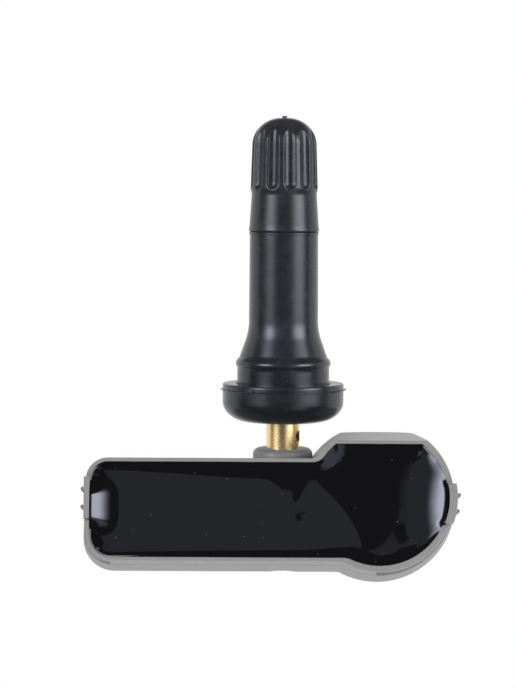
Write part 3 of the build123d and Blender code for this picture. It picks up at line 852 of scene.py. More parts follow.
@dataclass
class RubberValve:
    """Rubber body of the valve, with the ragged flash of its mould."""

    flange_r: float = 9.62
    flange_side: float = 2.9
    edge_round: float = 0.25
    dome_width: float = 4.2
    dome_drop: float = 3.2
    dome_slope: float = 0.3
    flash_reach: float = 0.5
    flash_z: float = -0.95
    flash_root: float = 0.16
    flash_tip: float = 0.06
    flash_seed: int = 5
    flash_waves: tuple[int, ...] = (3, 5, 8, 13, 21, 34, 55)
    torn_mean: float = 0.58
    torn_lean: float = 0.2
    torn_depth: float = 0.12
    torn_least: float = 0.12
    torn_lift: float = 0.018
    neck_r: float = 7.32
    foot_reach: float = 0.2
    foot_h: float = 0.2
    foot_edge: float = 0.05
    rim_gap: float = 2.62
    bead_reach: float = 0.42
    bead_crest: float = 0.8
    bead_h: float = 1.5
    bead_power: float = 2.2
    bead_steps: int = 13
    cone_foot_r: float = 6.88
    cone_h: float = 4.4
    cone_blend_r: float = 9.0
    stem_foot_r: float = 5.5
    stem_top_r: float = 5.42
    ring_reach: float = 0.1
    ring_h: float = 0.55
    ring_foot: float = 0.06
    ring_edge: float = 0.12
    ring_draft: float = 0.02
    shank_r: float = 2.65
    insert_r: float = 3.3
    thread_r: float = 3.85
    shank_in: float = 2.0
    longest_run: float = 0.5
    crease: float = 40.0
    around: int = 240

    def outer_profile(self) -> list[Point]:
        """The body's outside from its lower end to its top.

        Returns:
            Radius and height of its points.
        """
        low, high = (corner[2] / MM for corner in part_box("rubber_valve_body"))
        dome_r = self.flange_r - self.dome_width
        flash_r = self.flange_r + self.flash_reach
        root, tip = self.flash_root / 2, self.flash_tip / 2
        edge = (self.flange_r - self.edge_round, -self.edge_round)
        foot_r = self.neck_r + self.foot_reach
        ring_r = self.stem_top_r + self.ring_reach
        bead_top = self.rim_gap + self.bead_h
        cone_top = bead_top + self.cone_h
        ring_z = high - self.ring_h
        path = [(self.shank_r, low + self.dome_slope * self.shank_r / dome_r)]
        path += arc((dome_r, -self.flange_side), (self.dome_width, self.dome_drop), 270, 360, 24)
        path += [(self.flange_r, self.flash_z - root), (flash_r, self.flash_z - tip)]
        path += [(flash_r, self.flash_z + tip), (self.flange_r, self.flash_z + root)]
        path += arc(edge, (self.edge_round, self.edge_round), 0, 90, 5)
        path += [(foot_r, 0.0), (foot_r, self.foot_h)]
        path += [(self.neck_r, self.foot_h + self.foot_edge), (self.neck_r, self.rim_gap)]
        path += self.bead(bead_top)
        path += self.cone(bead_top, cone_top, ring_z)
        path += [(self.stem_top_r, ring_z), (ring_r, ring_z + self.ring_foot)]
        path += [(ring_r, high - self.ring_edge), (self.stem_top_r - self.ring_draft, high)]
        return path

    def bead(self, top: float) -> list[Point]:
        """The sealing bead above the rim's groove.

        Args:
            top: The height where it meets the cone.

        Returns:
            The points above its lower end.
        """
        ends = ((self.neck_r, self.rim_gap), (self.cone_foot_r, top))
        points = []
        for share in np.linspace(0.0, 1.0, self.bead_steps + 1)[1:]:
            side = 1.0 - abs(share / self.bead_crest * self.bead_h - 1.0) ** self.bead_power
            radius, height = (a + (b - a) * share for a, b in zip(*ends))
            points.append((radius + self.bead_reach * max(side, 0.0), height))
        return points

    def cone(self, low: float, high: float, ring_z: float) -> list[Point]:
        """The cone and the hollow curve by which it runs into the stem.

        Args:
            low: Height of the cone's foot.
            high: Height where cone and stem would meet.
            ring_z: Height of the ring at the top of the stem.

        Returns:
            The points of the curve.
        """
        lean = atan2(self.cone_foot_r - self.stem_foot_r, high - low)
        draft = atan2(self.stem_foot_r - self.stem_top_r, ring_z - high)
        cut = self.cone_blend_r * tan((lean - draft) / 2)
        start = Vector((self.stem_foot_r + cut * sin(lean), high - cut * cos(lean)))
        centre = start + self.cone_blend_r * Vector((cos(lean), sin(lean)))
        return arc(tuple(centre), (self.cone_blend_r,) * 2, 180 + lean * 180 / pi, 180 + draft * 180 / pi, 16)

    def inner_profile(self, low: float, high: float) -> list[Point]:
        """The bore that is moulded round the brass, from the top down.

        Args:
            low: Height of the body's lower end.
            high: Height of its top.

        Returns:
            Radius and height of its corners.
        """
        insert_z = low + self.shank_in
        return [
            (self.thread_r, high),
            (self.insert_r, high - self.thread_r + self.insert_r),
            (self.insert_r, insert_z + self.insert_r - self.shank_r),
            (self.shank_r, insert_z),
        ]

    def build(self) -> bpy.types.Object:
        """Turn the body and tear its flash.

        Returns:
            The piece.
        """
        low, high = (corner[2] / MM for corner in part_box("rubber_valve_body"))
        path = divided(self.outer_profile() + self.inner_profile(low, high), self.longest_run)
        radius, height = spun(path, self.around)
        turn = np.linspace(0.0, 2.0 * pi, self.around, endpoint=False)
        rng = np.random.default_rng(self.flash_seed)
        torn = self.torn_mean + self.torn_lean * np.cos(turn)
        wave = np.zeros(self.around)
        for count in self.flash_waves:
            torn += self.torn_depth * np.sin(count * turn + rng.uniform(0.0, 2.0 * pi))
            wave += self.torn_lift * np.sin(count * turn + rng.uniform(0.0, 2.0 * pi))
        torn = np.clip(torn, self.torn_least, 1.0)
        out = np.clip((radius - self.flange_r) / self.flash_reach, 0.0, 1.0)
        radius = radius - out * self.flash_reach * (1.0 - torn)[None, :]
        height = height + out * wave[None, :]
        return turned_mesh("rubber_valve", radius, height, True, self.crease)


@dataclass
class FlutedCap:
    """Cap with a long skirt, a waist, a fluted grip and a domed crown."""

    bore_r: float = 3.95
    counterbore_r: float = 4.6
    counterbore_h: float = 2.2
    mouth_chamfer: float = 0.1
    skirt_r: float = 5.59
    skirt_round: float = 0.12
    lip_r: float = 5.5
    lip_h: float = 0.75
    lip_blend: Point = (0.01, -0.015)
    lip_blend_h: float = 0.1
    waist_r: float = 5.16
    waist_h: float = 6.0
    waist_flare: float = 0.035
    waist_blend_h: Point = (0.15, 0.12)
    grip_r: float = 5.33
    step_h: float = 0.7
    grip_top_r: float = 5.1
    grip_h: float = 6.9
    crown_r: float = 0.5
    crown_h: float = 4.3
    nub_r: float = 0.4
    nub_top_r: float = 0.36
    nub_h: float = 0.3
    ceiling_h: float = 13.85
    flutes: int = 12
    flute_r: float = 1.25
    flute_depth: float = 0.52
    flute_from_waist: float = 0.36
    flute_follow: float = 0.04
    flute_turn: float = -81.0
    flute_clear: float = 1.0
    flute_least_r: float = 0.6
    softness: float = 0.09
    longest_run: float = 0.22
    crease: float = 50.0
    per_flute: int = 24

    def profile(self, low: float) -> np.ndarray:
        """The cap's section without its flutes, from the middle of its ceiling to the top of its crown.

        Args:
            low: Height of the skirt's lower edge.

        Returns:
            Radius and height of each point.
        """
        ceiling_z = low + self.ceiling_h
        waist_z = low + self.waist_h
        grip_z = waist_z + self.step_h
        dome_z = grip_z + self.grip_h
        crown_z = dome_z + self.crown_h
        inside = [
            (0.0, ceiling_z),
            (self.bore_r, ceiling_z),
            (self.bore_r, low + self.counterbore_h + self.counterbore_r - self.bore_r),
            (self.counterbore_r, low + self.counterbore_h),
            (self.counterbore_r, low + self.mouth_chamfer),
            (self.counterbore_r + self.mouth_chamfer, low),
        ]
        round_at = (self.skirt_r - self.skirt_round, low + self.skirt_round)
        foot = arc(round_at, (self.skirt_round, self.skirt_round), -90, 0, 5)
        side = [
            (self.lip_r + self.lip_blend[0], low + self.lip_h - self.lip_blend_h),
            (self.lip_r + self.lip_blend[1], low + self.lip_h + self.lip_blend_h),
            (self.waist_r, waist_z - self.waist_blend_h[0]),
            (self.waist_r + self.waist_flare, waist_z + self.waist_blend_h[1]),
            (self.grip_r, grip_z),
            (self.grip_top_r, dome_z),
        ]
        dome = arc((self.crown_r, dome_z), (self.grip_top_r - self.crown_r, self.crown_h), 0, 90, 40)
        nub_z = crown_z + self.nub_h
        nub = [(self.nub_r, crown_z), (self.nub_top_r, nub_z), (0.0, nub_z)]
        return divided(inside + foot + side + dome + nub, self.longest_run)

    def flute_floor(self, turn: np.ndarray, height: np.ndarray, low: float) -> np.ndarray:
        """How far out each direction stays solid beside and in the flutes.

        Args:
            turn: Angle from the nearest flute's middle.
            height: Height of each ring.
            low: Height of the skirt's lower edge.

        Returns:
            The radius that the flutes leave, by ring and step.
        """
        grip_z = low + self.waist_h + self.step_h
        lean = (self.grip_r - self.grip_top_r) / self.grip_h
        end_z = low + self.waist_h + self.flute_from_waist + self.flute_r
        past_grip = np.clip(height - grip_z - self.grip_h, 0.0, None)
        middle = self.grip_r - (height - grip_z) * lean + self.flute_r - self.flute_depth
        middle = middle - self.flute_follow * past_grip**2
        below = np.clip(end_z - height, 0.0, None)
        width = self.flute_r**2 - below**2
        room = width - (middle * np.sin(turn)) ** 2
        floor = middle * np.cos(turn) - np.sqrt(np.clip(room, 0.0, None))
        return np.where((room > 0.0) & (width > 0.0), floor, middle + self.flute_clear)

    def build(self) -> bpy.types.Object:
        """Turn the cap and press its flutes in, with softly rounded edges.

        Returns:
            The piece.
        """
        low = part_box("valve_cap")[0][2] / MM
        path = self.profile(low)
        around = self.flutes * self.per_flute
        turn = np.linspace(0.0, 2.0 * pi, around, endpoint=False)
        pitch = 2.0 * pi / self.flutes
        off = (turn - radians(self.flute_turn) + pitch / 2) % pitch - pitch / 2
        radius, height = spun(path, around)
        outside = np.arange(len(path)) > int(np.argmin(path[:, 1]))
        pressed = soft_lower(radius, self.flute_floor(off[None, :], height, low), self.softness)
        radius = np.where(outside[:, None] & (radius > self.flute_least_r), pressed, radius)
        return turned_mesh("fluted_cap", radius, height, False, self.crease)


@dataclass
class BrassStem:
    """Brass stem with a rolled thread at its mouth and a cross hole in its shank."""

    shank_r: float = 2.65
    insert_r: float = 3.3
    thread_r: float = 3.85
    thread_depth: float = 0.42
    thread_l: float = 12.4
    pitch: float = 0.794
    pitch_steps: int = 10
    groove_floor: float = 1.25
    groove_slope: float = 3.6
    run_in: float = 0.1
    chamfer: float = 0.5
    edge_chamfer: float = 0.15
    insert_z: float = -4.4
    chamber_r: float = 2.45
    chamber_l: float = 4.5
    throat_r: float = 2.15
    throat_l: float = 16.5
    air_r: float = 1.5
    air_end_z: float = -9.6
    cross_r: float = 0.9
    cross_z: float = -8.4
    cross_turn: float = -19.0
    cross_steps: int = 40
    outside_run: float = 1.5
    inside_run: float = 2.0
    crease: float = 35.0
    around: int = 96

    def build(self) -> bpy.types.Object:
        """Turn the stem, roll its thread and drill its cross hole.

        Returns:
            The piece.
        """
        low, mouth = (corner[2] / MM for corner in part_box("valve_stem"))
        top = mouth - self.thread_l
        outside = [
            (0.0, low),
            (self.shank_r - self.edge_chamfer, low),
            (self.shank_r, low + self.edge_chamfer),
            (self.shank_r, self.insert_z),
            (self.insert_r, self.insert_z + self.insert_r - self.shank_r),
            (self.insert_r, top - self.thread_r + self.insert_r),
            (self.thread_r, top),
        ]
        steps = np.arange(top + self.run_in, mouth - self.chamfer, self.pitch / self.pitch_steps)
        rolled = [(self.thread_r, z) for z in steps]
        inside = [
            (self.thread_r - self.chamfer, mouth),
            (self.chamber_r + self.edge_chamfer, mouth),
            (self.chamber_r, mouth - self.edge_chamfer),
            (self.chamber_r, mouth - self.chamber_l),
            (self.throat_r, mouth - self.chamber_l),
            (self.throat_r, mouth - self.throat_l),
            (self.air_r, mouth - self.throat_l),
            (self.air_r, self.air_end_z),
            (0.0, self.air_end_z),
        ]
        path = [divided(outside, self.outside_run), rolled, divided(inside, self.inside_run)]
        radius, height = spun(np.concatenate(path), self.around)
        turn = np.linspace(0.0, 1.0, self.around, endpoint=False)[None, :]
        phase = (height / self.pitch - turn) % 1.0
        groove = np.clip(self.groove_floor - np.abs(phase - 0.5) * self.groove_slope, 0.0, 1.0)
        from_foot = np.clip((height - top) / self.pitch, 0.0, 1.0)
        from_mouth = np.clip((mouth - height) / self.chamfer, 0.0, 1.0)
        cut = self.thread_depth * groove * from_foot * from_mouth
        radius = np.where(np.isclose(radius, self.thread_r, 0.0, SAME), radius - cut, radius)
        stem = turned_mesh("threaded_stem", radius, height, False, self.crease)
        self.drill(stem)
        return stem

    def drill(self, stem: bpy.types.Object) -> None:
        """Drill the cross hole through one side of the shank.

        Args:
            stem: The stem.
        """
        work = bmesh.new()
        turn = Matrix.Rotation(radians(self.cross_turn), 4, "Z") @ Matrix.Rotation(radians(90), 4, "Y")
        length = (self.shank_r + self.air_r) * MM
        centre = Matrix.Translation((0.0, 0.0, self.cross_z * MM)) @ turn
        centre = centre @ Matrix.Translation((0.0, 0.0, length / 2))
        sizes = {"radius1": self.cross_r * MM, "radius2": self.cross_r * MM, "depth": length}
        bmesh.ops.create_cone(work, cap_ends=True, segments=self.cross_steps, matrix=centre, **sizes)
        mesh = bpy.data.meshes.new("cross_drill")
        work.to_mesh(mesh)
        work.free()
        cutter = bpy.data.objects.new("cross_drill", mesh)
        bpy.context.scene.collection.objects.link(cutter)
        cut = stem.modifiers.new("cross_hole", "BOOLEAN")
        cut.operation = "DIFFERENCE"
        cut.solver = "EXACT"
        cut.object = cutter
        graph = bpy.context.evaluated_depsgraph_get()
        drilled = bpy.data.meshes.new_from_object(stem.evaluated_get(graph))
        stem.modifiers.clear()
        stem.data = drilled
        bpy.data.objects.remove(cutter)
        drilled.shade_smooth()
        drilled.set_sharp_from_angle(angle=radians(self.crease))


@dataclass
class CoilSpring:
    """Wire spring of the core, between the barrel's lip and the pin's collar."""

    coil_r: float = 0.975
    wire_r: float = 0.14
    turns: int = 6
    clearance: float = 0.02
    end_share: float = 0.1
    end_rise: float = 0.34
    crease: float = 40.0
    steps: int = 32
    around: int = 12

    def ends(self) -> Point:
        """The heights that the wire reaches."""
        low, high = (corner[2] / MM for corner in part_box("core_spring"))
        return low + self.clearance, high - self.clearance

    def build(self) -> bpy.types.Object:
        """Wind the wire, closer at its two ends.

        Returns:
            The piece.
        """
        low, high = self.ends()
        share = np.linspace(0.0, 1.0, self.turns * self.steps + 1)
        turn = 2.0 * pi * self.turns * share
        lie = np.clip(np.minimum(share, 1.0 - share) / self.end_share, 0.0, 1.0)
        rise = np.cumsum(self.end_rise + lie)
        climbed = (rise - rise[0]) / (rise[-1] - rise[0])
        height = low + self.wire_r + (high - low - 2.0 * self.wire_r) * climbed
        lead = np.gradient(height, turn)[:, None] / self.coil_r
        out = np.stack([np.cos(turn), np.sin(turn), np.zeros_like(turn)], axis=1)
        along = np.stack([-np.sin(turn), np.cos(turn), np.zeros_like(turn)], axis=1)
        up = np.array([[0.0, 0.0, 1.0]]) - along * lead
        up /= np.linalg.norm(up, axis=1, keepdims=True)
        middle = out * self.coil_r
        middle[:, 2] = height
        angle = np.linspace(0.0, 2.0 * pi, self.around, endpoint=False)[None, :, None]
        section = np.cos(angle) * out[:, None] + np.sin(angle) * up[:, None]
        points = middle[:, None] + self.wire_r * section
        faces = turned_faces(len(turn), self.around, False)
        last = len(turn) * self.around
        faces.append(tuple(range(self.around)))
        faces.append(tuple(range(last - self.around, last)))
        return make_mesh("coil_spring", points.reshape(-1, 3), faces, self.crease)


@dataclass(frozen=True)
class Dent:
    """A shallow round dent: its place along and up the face, its radius and its depth."""

    u: float
    v: float
    radius: float
    depth: float


@dataclass
class PottedFace:
    """Resin in the cup, with a surface that creeps up the walls as it sets.

    Places are u along the face and v up it from the middle of the round end, and n out of it. A pair named
    as a span gives the places between which a feature fades in, counted towards the left where it says so.
    The dish's rim and trough are curves, given by their terms: the place u at the middle, the lean with v,
    and then the bends, which for the trough are one above the middle and two below it.
    """

    tilt: float = 11.6
    origin: tuple[float, float, float] = (15.0, -10.55, -16.85)
    round_r: float = 10.7
    end_u: float = -45.14
    top_v: float = 5.39
    bottom_v: float = -9.49
    corner_top_r: float = 2.84
    corner_bottom_r: float = 3.44
    join_top_r: float = 2.06
    join_bottom_r: float = 2.56
    pad_r: float = 10.86
    pad_top_v: float = 2.15
    pad_bottom_v: float = -4.05
    bed_drop: float = 0.9
    bed_lift: float = 8.0
    bed_lift_span: Point = (0.0, 9.0)
    end_sink: float = 0.45
    end_sink_left_span: Point = (26.0, 43.0)
    dish_sink: float = 0.65
    dish_h: float = 8.4
    dish_power: float = 1.3
    dish_least_w: float = 0.8
    dish_blend: float = 0.05
    dish_rim: tuple[float, float, float] = (-6.9, -0.98, -0.049)
    dish_rim_least_u: float = -9.3
    dish_trough: tuple[float, float, float, float, float] = (3.95, 0.2, 0.03, 0.006, 0.0053)
    right_start_u: float = 4.7
    right_curve: float = 0.043
    right_middle_v: float = -1.5
    right_fade: float = 0.0003
    corner_v: float = 2.5
    corner_h: float = 3.0
    corner_lean: float = 0.135
    corner_lean_power: float = 1.7
    corner_curve: float = 0.03
    corner_curve_power: float = 2.8
    bar_climb: float = 0.4
    join_climb: float = 0.35
    join_span: Point = (-12.0, -4.0)
    right_climb: float = -0.35
    right_reach: float = 0.9
    right_lean: float = 0.6
    right_span: Point = (3.0, 8.0)
    nook_climb: float = 0.38
    nook_reach: float = 4.0
    nook_left_span: Point = (5.0, 7.5)
    nook_v_span: Point = (4.0, 6.5)
    end_climb: float = -0.12
    end_reach: float = 2.8
    end_left_span: Point = (39.0, 42.5)
    end_wall_span: Point = (-1.2, -0.1)
    spike_u: float = -14.0
    spike_w: float = 1.9
    spike_reach: float = 5.5
    top_reach: float = 1.0
    top_reach_gain: float = 2.2
    top_reach_span: Point = (-46.0, -16.0)
    low_reach: float = 0.9
    low_reach_gain: float = 1.2
    low_reach_span: Point = (-46.0, -6.0)
    top_v_span: Point = (-5.0, -0.5)
    still_span: Point = (-0.8, 0.0)
    still_v_span: Point = (-7.0, -5.0)
    pad_edge: float = 0.5
    pad_climb: float = 1.6
    pad_reach: float = 5.2
    pad_lip: float = 0.6
    pad_middle_v: float = -1.65
    pad_half: float = 1.75
    pad_above: float = 1.15
    pad_below: float = 1.6
    pad_calm: float = 3.0
    dents: tuple[Dent, ...] = (Dent(-11.9, -3.1, 0.8, 0.055), Dent(4.2, -5.5, 0.95, 0.06))
    ring_gaps: tuple[float, ...] = (0.12, 0.26, 0.42, 0.6, 0.82, 1.08, 1.4, 1.8, 2.25, 2.75)
    ring_keep: float = 0.96
    grid: float = 0.36
    grid_gap: float = 3.0
    edge_run: float = 0.3
    crease: float = 60.0
    floor_n: float = -3.0

    def flat_v(self) -> float:
        """Height on the face of the straight edge under the flat on top of the round end.

        Returns:
            The height.
        """
        top_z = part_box("potting")[1][2] / MM
        lean = radians(self.tilt)
        return (top_z - self.origin[2] + self.bed_drop * sin(lean)) / cos(lean)

    def outline(self) -> np.ndarray:
        """The resin's edge seen square on, anticlockwise.

        Returns:
            The edge's corners.
        """
        join_top = self.join_centre(self.top_v, self.join_top_r)
        join_bottom = self.join_centre(self.bottom_v, -self.join_bottom_r)
        flat = self.flat_v()
        flat_angle = asin(flat / self.round_r) * 180 / pi
        low_angle = atan2(join_bottom[1], join_bottom[0]) * 180 / pi
        high_angle = atan2(join_top[1], join_top[0]) * 180 / pi
        big = (self.round_r, self.round_r)
        top_r = (self.corner_top_r,) * 2
        bottom_r = (self.corner_bottom_r,) * 2
        pad = (self.pad_r, self.pad_r)
        pad_low, pad_high = (asin(v / self.pad_r) * 180 / pi for v in (self.pad_bottom_v, self.pad_top_v))
        path = arc((0.0, 0.0), big, low_angle, pad_low, 60)
        path += arc((0.0, 0.0), pad, pad_low, pad_high, 24)
        path += arc((0.0, 0.0), big, pad_high, flat_angle, 30)
        path += arc((0.0, 0.0), big, 180 - flat_angle, high_angle, 12)
        path += arc(join_top, (self.join_top_r,) * 2, high_angle - 180, -90, 8)
        path += arc((self.end_u + top_r[0], self.top_v - top_r[0]), top_r, 90, 180, 14)
        path += arc((self.end_u + bottom_r[0], self.bottom_v + bottom_r[0]), bottom_r, 180, 270, 14)
        path += arc(join_bottom, (self.join_bottom_r,) * 2, 90, low_angle + 180, 8)
        return divided(path + path[:1], self.edge_run)[:-1]

    def join_centre(self, edge_v: float, radius: float) -> Point:
        """Centre of the hollow curve between the bar and the round end.

        Args:
            edge_v: Height of the bar's edge.
            radius: The curve's radius, below 0 for the lower edge.

        Returns:
            The centre.
        """
        centre_v = edge_v + radius
        return (-sqrt((self.round_r + abs(radius)) ** 2 - centre_v**2), centre_v)

    @staticmethod
    def distance(points: np.ndarray, edge: np.ndarray) -> np.ndarray:
        """Distance of points to a closed edge.

        Args:
            points: The points.
            edge: The edge's corners.

        Returns:
            The least distance of each point.
        """
        least = np.full(len(points), np.inf)
        for corner, way in zip(edge, np.roll(edge, -1, axis=0) - edge):
            share = np.clip((points - corner) @ way / max(way @ way, TINY), 0.0, 1.0)
            gap = points - corner - share[:, None] * way
            least = np.minimum(least, np.hypot(gap[:, 0], gap[:, 1]))
        return least

    @staticmethod
    def inside(points: np.ndarray, edge: np.ndarray) -> np.ndarray:
        """Whether points lie inside a closed edge.

        Args:
            points: The points.
            edge: The edge's corners.

        Returns:
            True for each point inside.
        """
        after = np.roll(edge, -1, axis=0)
        odd = np.zeros(len(points), bool)
        for (u1, v1), (u2, v2) in zip(edge, after):
            crosses = (v1 > points[:, 1]) != (v2 > points[:, 1])
            rise = v2 - v1 if v2 != v1 else TINY
            odd ^= crosses & (points[:, 0] < (u2 - u1) * (points[:, 1] - v1) / rise + u1)
        return odd

    @staticmethod
    def soft(value: np.ndarray, low: float, high: float) -> np.ndarray:
        """A soft step from 0 at low to 1 at high."""
        share = np.clip((value - low) / (high - low), 0.0, 1.0)
        return share * share * (3.0 - 2.0 * share)

    def trough(self, v: np.ndarray) -> np.ndarray:
        """Where the dish in the round end is lowest.

        Args:
            v: Places up the face.

        Returns:
            The place along the face at each of them.
        """
        middle, lean, upper, lower, lowest = self.dish_trough
        up, down = np.clip(v, 0.0, None), np.clip(v, None, 0.0)
        return middle + lean * v + upper * up**2 + lower * down**2 + lowest * down**3

    def rest(self, u: np.ndarray, v: np.ndarray) -> np.ndarray:
        """Height of the resin away from the walls: a bed along the bar and a dish in the round end.

        Args:
            u: Places along the face.
            v: Places up the face.

        Returns:
            The height at each place.
        """
        bed = -self.bed_drop - self.end_sink * self.soft(-u, *self.end_sink_left_span)
        trough = self.trough(v)
        middle, lean, bend = self.dish_rim
        rim = np.maximum(middle + lean * v + bend * v**2, self.dish_rim_least_u)
        down = (np.clip(-v, 0.0, None) / self.dish_h) ** self.dish_power
        sink = self.dish_sink * np.clip(1.0 - down, 0.0, 1.0)
        slope = np.clip((trough - u) / np.maximum(trough - rim, self.dish_least_w), 0.0, None)
        to_corner = np.clip(v - self.corner_v, 0.0, None)
        start = self.right_start_u + self.corner_lean * to_corner**self.corner_lean_power
        curve = self.right_curve - self.right_fade * (v - self.right_middle_v) ** 2
        curve = curve + self.corner_curve * (to_corner / self.corner_h) ** self.corner_curve_power
        right = curve * np.clip(u - start, 0.0, None) ** 2
        dish = -self.bed_drop - sink + sink * slope**2 + right
        return soft_lower(dish, bed + self.bed_lift * self.soft(u, *self.bed_lift_span), self.dish_blend)

    def creep(self, u: np.ndarray, v: np.ndarray, gap: np.ndarray) -> np.ndarray:
        """How far the resin has crept up the walls, apart from the wall beside the left pad.

        Args:
            u: Places along the face.
            v: Places up the face.
            gap: Their distance from the wall.

        Returns:
            The climb at each place.
        """
        to_right = self.soft(u - self.right_lean * np.clip(v, 0.0, None), *self.right_span)
        to_nook = self.soft(v, *self.nook_v_span) * self.soft(-u, *self.nook_left_span)
        to_end = self.soft(-u, *self.end_left_span)
        to_end = to_end * self.soft(gap - np.abs(u - self.end_u), *self.end_wall_span)
        spike = self.spike_reach * np.exp(-(((u - self.spike_u) / self.spike_w) ** 2))
        top = self.top_reach + self.top_reach_gain * self.soft(u, *self.top_reach_span) + spike
        low = self.low_reach + self.low_reach_gain * self.soft(u, *self.low_reach_span)
        reach = low + (top - low) * self.soft(v, *self.top_v_span)
        climb = self.bar_climb + self.join_climb * self.soft(u, *self.join_span)
        for share, local_reach, local_climb in (
            (to_right, self.right_reach, self.right_climb),
            (to_nook, self.nook_reach, self.nook_climb),
            (to_end, self.end_reach, self.end_climb),
        ):
            reach = reach + (local_reach - reach) * share
            climb = climb + local_climb * share
        beside_pad = self.soft(v, self.pad_bottom_v - self.pad_edge, self.pad_bottom_v)
        beside_pad = beside_pad * self.soft(-v, -self.pad_top_v - self.pad_edge, -self.pad_top_v)
        still = self.soft(u - self.trough(v), *self.still_span) * self.soft(v, *self.still_v_span)
        still = still * (1.0 - beside_pad)
        return climb * (1.0 - still) * np.clip(1.0 - gap / reach, 0.0, 1.0) ** 2

    def level(self, points: np.ndarray, gap: np.ndarray) -> np.ndarray:
        """Height of the set surface, below 0 under the rim.

        Args:
            points: Places on the face.
            gap: Their distance from the wall.

        Returns:
            The height at each place.
        """
        u, v = points[:, 0], points[:, 1]
        above_pad = np.clip(v - self.pad_middle_v - self.pad_half, 0.0, None)
        below_pad = np.clip(self.pad_middle_v - self.pad_half - v, 0.0, None)
        away = np.hypot(u - self.end_u, self.pad_above * above_pad + self.pad_below * below_pad)
        to_pad, to_lip = (np.clip(1.0 - away / reach, 0.0, 1.0) for reach in (self.pad_reach, self.pad_lip))
        calm = 1.0 - np.clip(self.pad_calm * to_pad, 0.0, 1.0)
        lip = self.pad_lip / self.pad_reach * to_lip**2
        height = self.rest(u, v) + calm * self.creep(u, v, gap) + self.pad_climb * (to_pad**2 - lip)
        for dent in self.dents:
            off = (u - dent.u) ** 2 + (v - dent.v) ** 2
            height = height - dent.depth * np.exp(-off / dent.radius**2)
        return height

    def surface_points(self, edge: np.ndarray) -> np.ndarray:
        """Places on the face where the surface is worked out, close together near the wall.

        Args:
            edge: The resin's edge.

        Returns:
            The places, the edge's own first.
        """
        after, before = np.roll(edge, -1, axis=0), np.roll(edge, 1, axis=0)
        way = after - before
        inward = np.stack([-way[:, 1], way[:, 0]], axis=1) / np.hypot(way[:, 0], way[:, 1])[:, None]
        rings = [edge]
        for gap in self.ring_gaps:
            ring = edge + inward * gap
            keep = self.inside(ring, edge) & (self.distance(ring, edge) > self.ring_keep * gap)
            rings.append(ring[keep])
        low, high = edge.min(axis=0), edge.max(axis=0)
        grid_u, grid_v = np.meshgrid(*(np.arange(a, b, self.grid) for a, b in zip(low, high)))
        grid = np.stack([grid_u.ravel(), grid_v.ravel()], axis=1)
        grid = grid[self.inside(grid, edge)]
        return np.concatenate([*rings, grid[self.distance(grid, edge) > self.grid_gap]])

    def build(self) -> bpy.types.Object:
        """Cast the resin: its set surface, and a skirt down inside the walls.

        Returns:
            The piece.
        """
        edge = self.outline()
        places = self.surface_points(edge)
        count = len(edge)
        rim = [(index, (index + 1) % count) for index in range(count)]
        made = delaunay_2d_cdt([Vector(p) for p in places], rim, [], 1, SAME)
        flat = np.array([tuple(p) for p in made[0]])
        height = self.level(flat, self.distance(flat, edge))
        top = np.column_stack([flat, height])
        bottom = np.column_stack([edge, np.full(count, self.floor_n)])
        first = len(top)
        faces = [tuple(face) for face in made[2]]
        faces += [(a, b, first + b, first + a) for a, b in rim]
        faces.append(tuple(first + index for index in range(count)))
        return make_mesh("potted_face", self.in_frame(np.concatenate([top, bottom])), faces, self.crease)

    def in_frame(self, points: np.ndarray) -> np.ndarray:
        """Points of the face in the shared frame.

        Args:
            points: Places along the face, up it and out of it.

        Returns:
            The points.
        """
        lean = radians(self.tilt)
        axes = np.array([(1, 0, 0), (0, sin(lean), cos(lean)), (0, -cos(lean), sin(lean))])
        return points @ axes + np.array(self.origin)


@dataclass
class SensorCup:
    """The moulded cup, its resin, and the screw that holds it on the stem."""

    face: PottedFace

    def build(self) -> None:
        """Cast the resin and dress the cup."""
        place_piece(self.face.build(), POTTING_RESIN, Body.SENSOR, "potting_resin", "potting")
        dress_nodes(HOUSING_PLASTIC, "housing")
        dress_nodes(SCREW_STEEL, "mounting_screw")


@dataclass
class SnapInValve:
    """The valve: rubber body, brass stem, core and cap."""

    rubber: RubberValve
    stem: BrassStem
    spring: CoilSpring
    cap: FlutedCap

    def build(self) -> None:
        """Make the valve's pieces and dress its core."""
        place_piece(self.rubber.build(), VALVE_RUBBER, Body.SENSOR, "valve_rubber", "rubber_valve_body")
        place_piece(self.stem.build(), STEM_BRASS, Body.SENSOR, "stem_brass", "valve_stem")
        place_piece(self.cap.build(), CAP_PLASTIC, Body.CAP, "cap_plastic", "valve_cap")
        dress_nodes(CORE_BRASS, "core_body")
        held = (Body.SENSOR, Body.CORE_PLUNGER)
        stretch_piece(self.spring.build(), CORE_STEEL, held, self.spring.ends(), "core_steel", "core_spring")
        dress_nodes(CORE_STEEL, "core_pin")
        dress_nodes(SEAL_RUBBER, "core_barrel_seal", "core_seat_seal", "cap_seal")


@dataclass
class Electronics:
    """What the resin holds: cell, board and the parts on it."""

    metal: tuple[str, ...] = (
        "battery_tab_negative", "battery_tab_positive", "timing_crystal", "radio_antenna",
    )

    def build(self) -> None:
        """Dress each part."""
        dress_nodes(CELL_STEEL, "battery_cell", *self.metal)
        dress_nodes(BOARD_LAMINATE, "circuit_board")
        dress_nodes(CHIP_PLASTIC, "sensor_chip")
        dress_nodes(SEAL_RUBBER, "port_gasket")
        dress_nodes(COIL_FERRITE, "lf_coil_core")
        dress_nodes(COIL_COPPER, "lf_coil_winding")
        dress_nodes(CAPACITOR_CERAMIC, "board_capacitors")


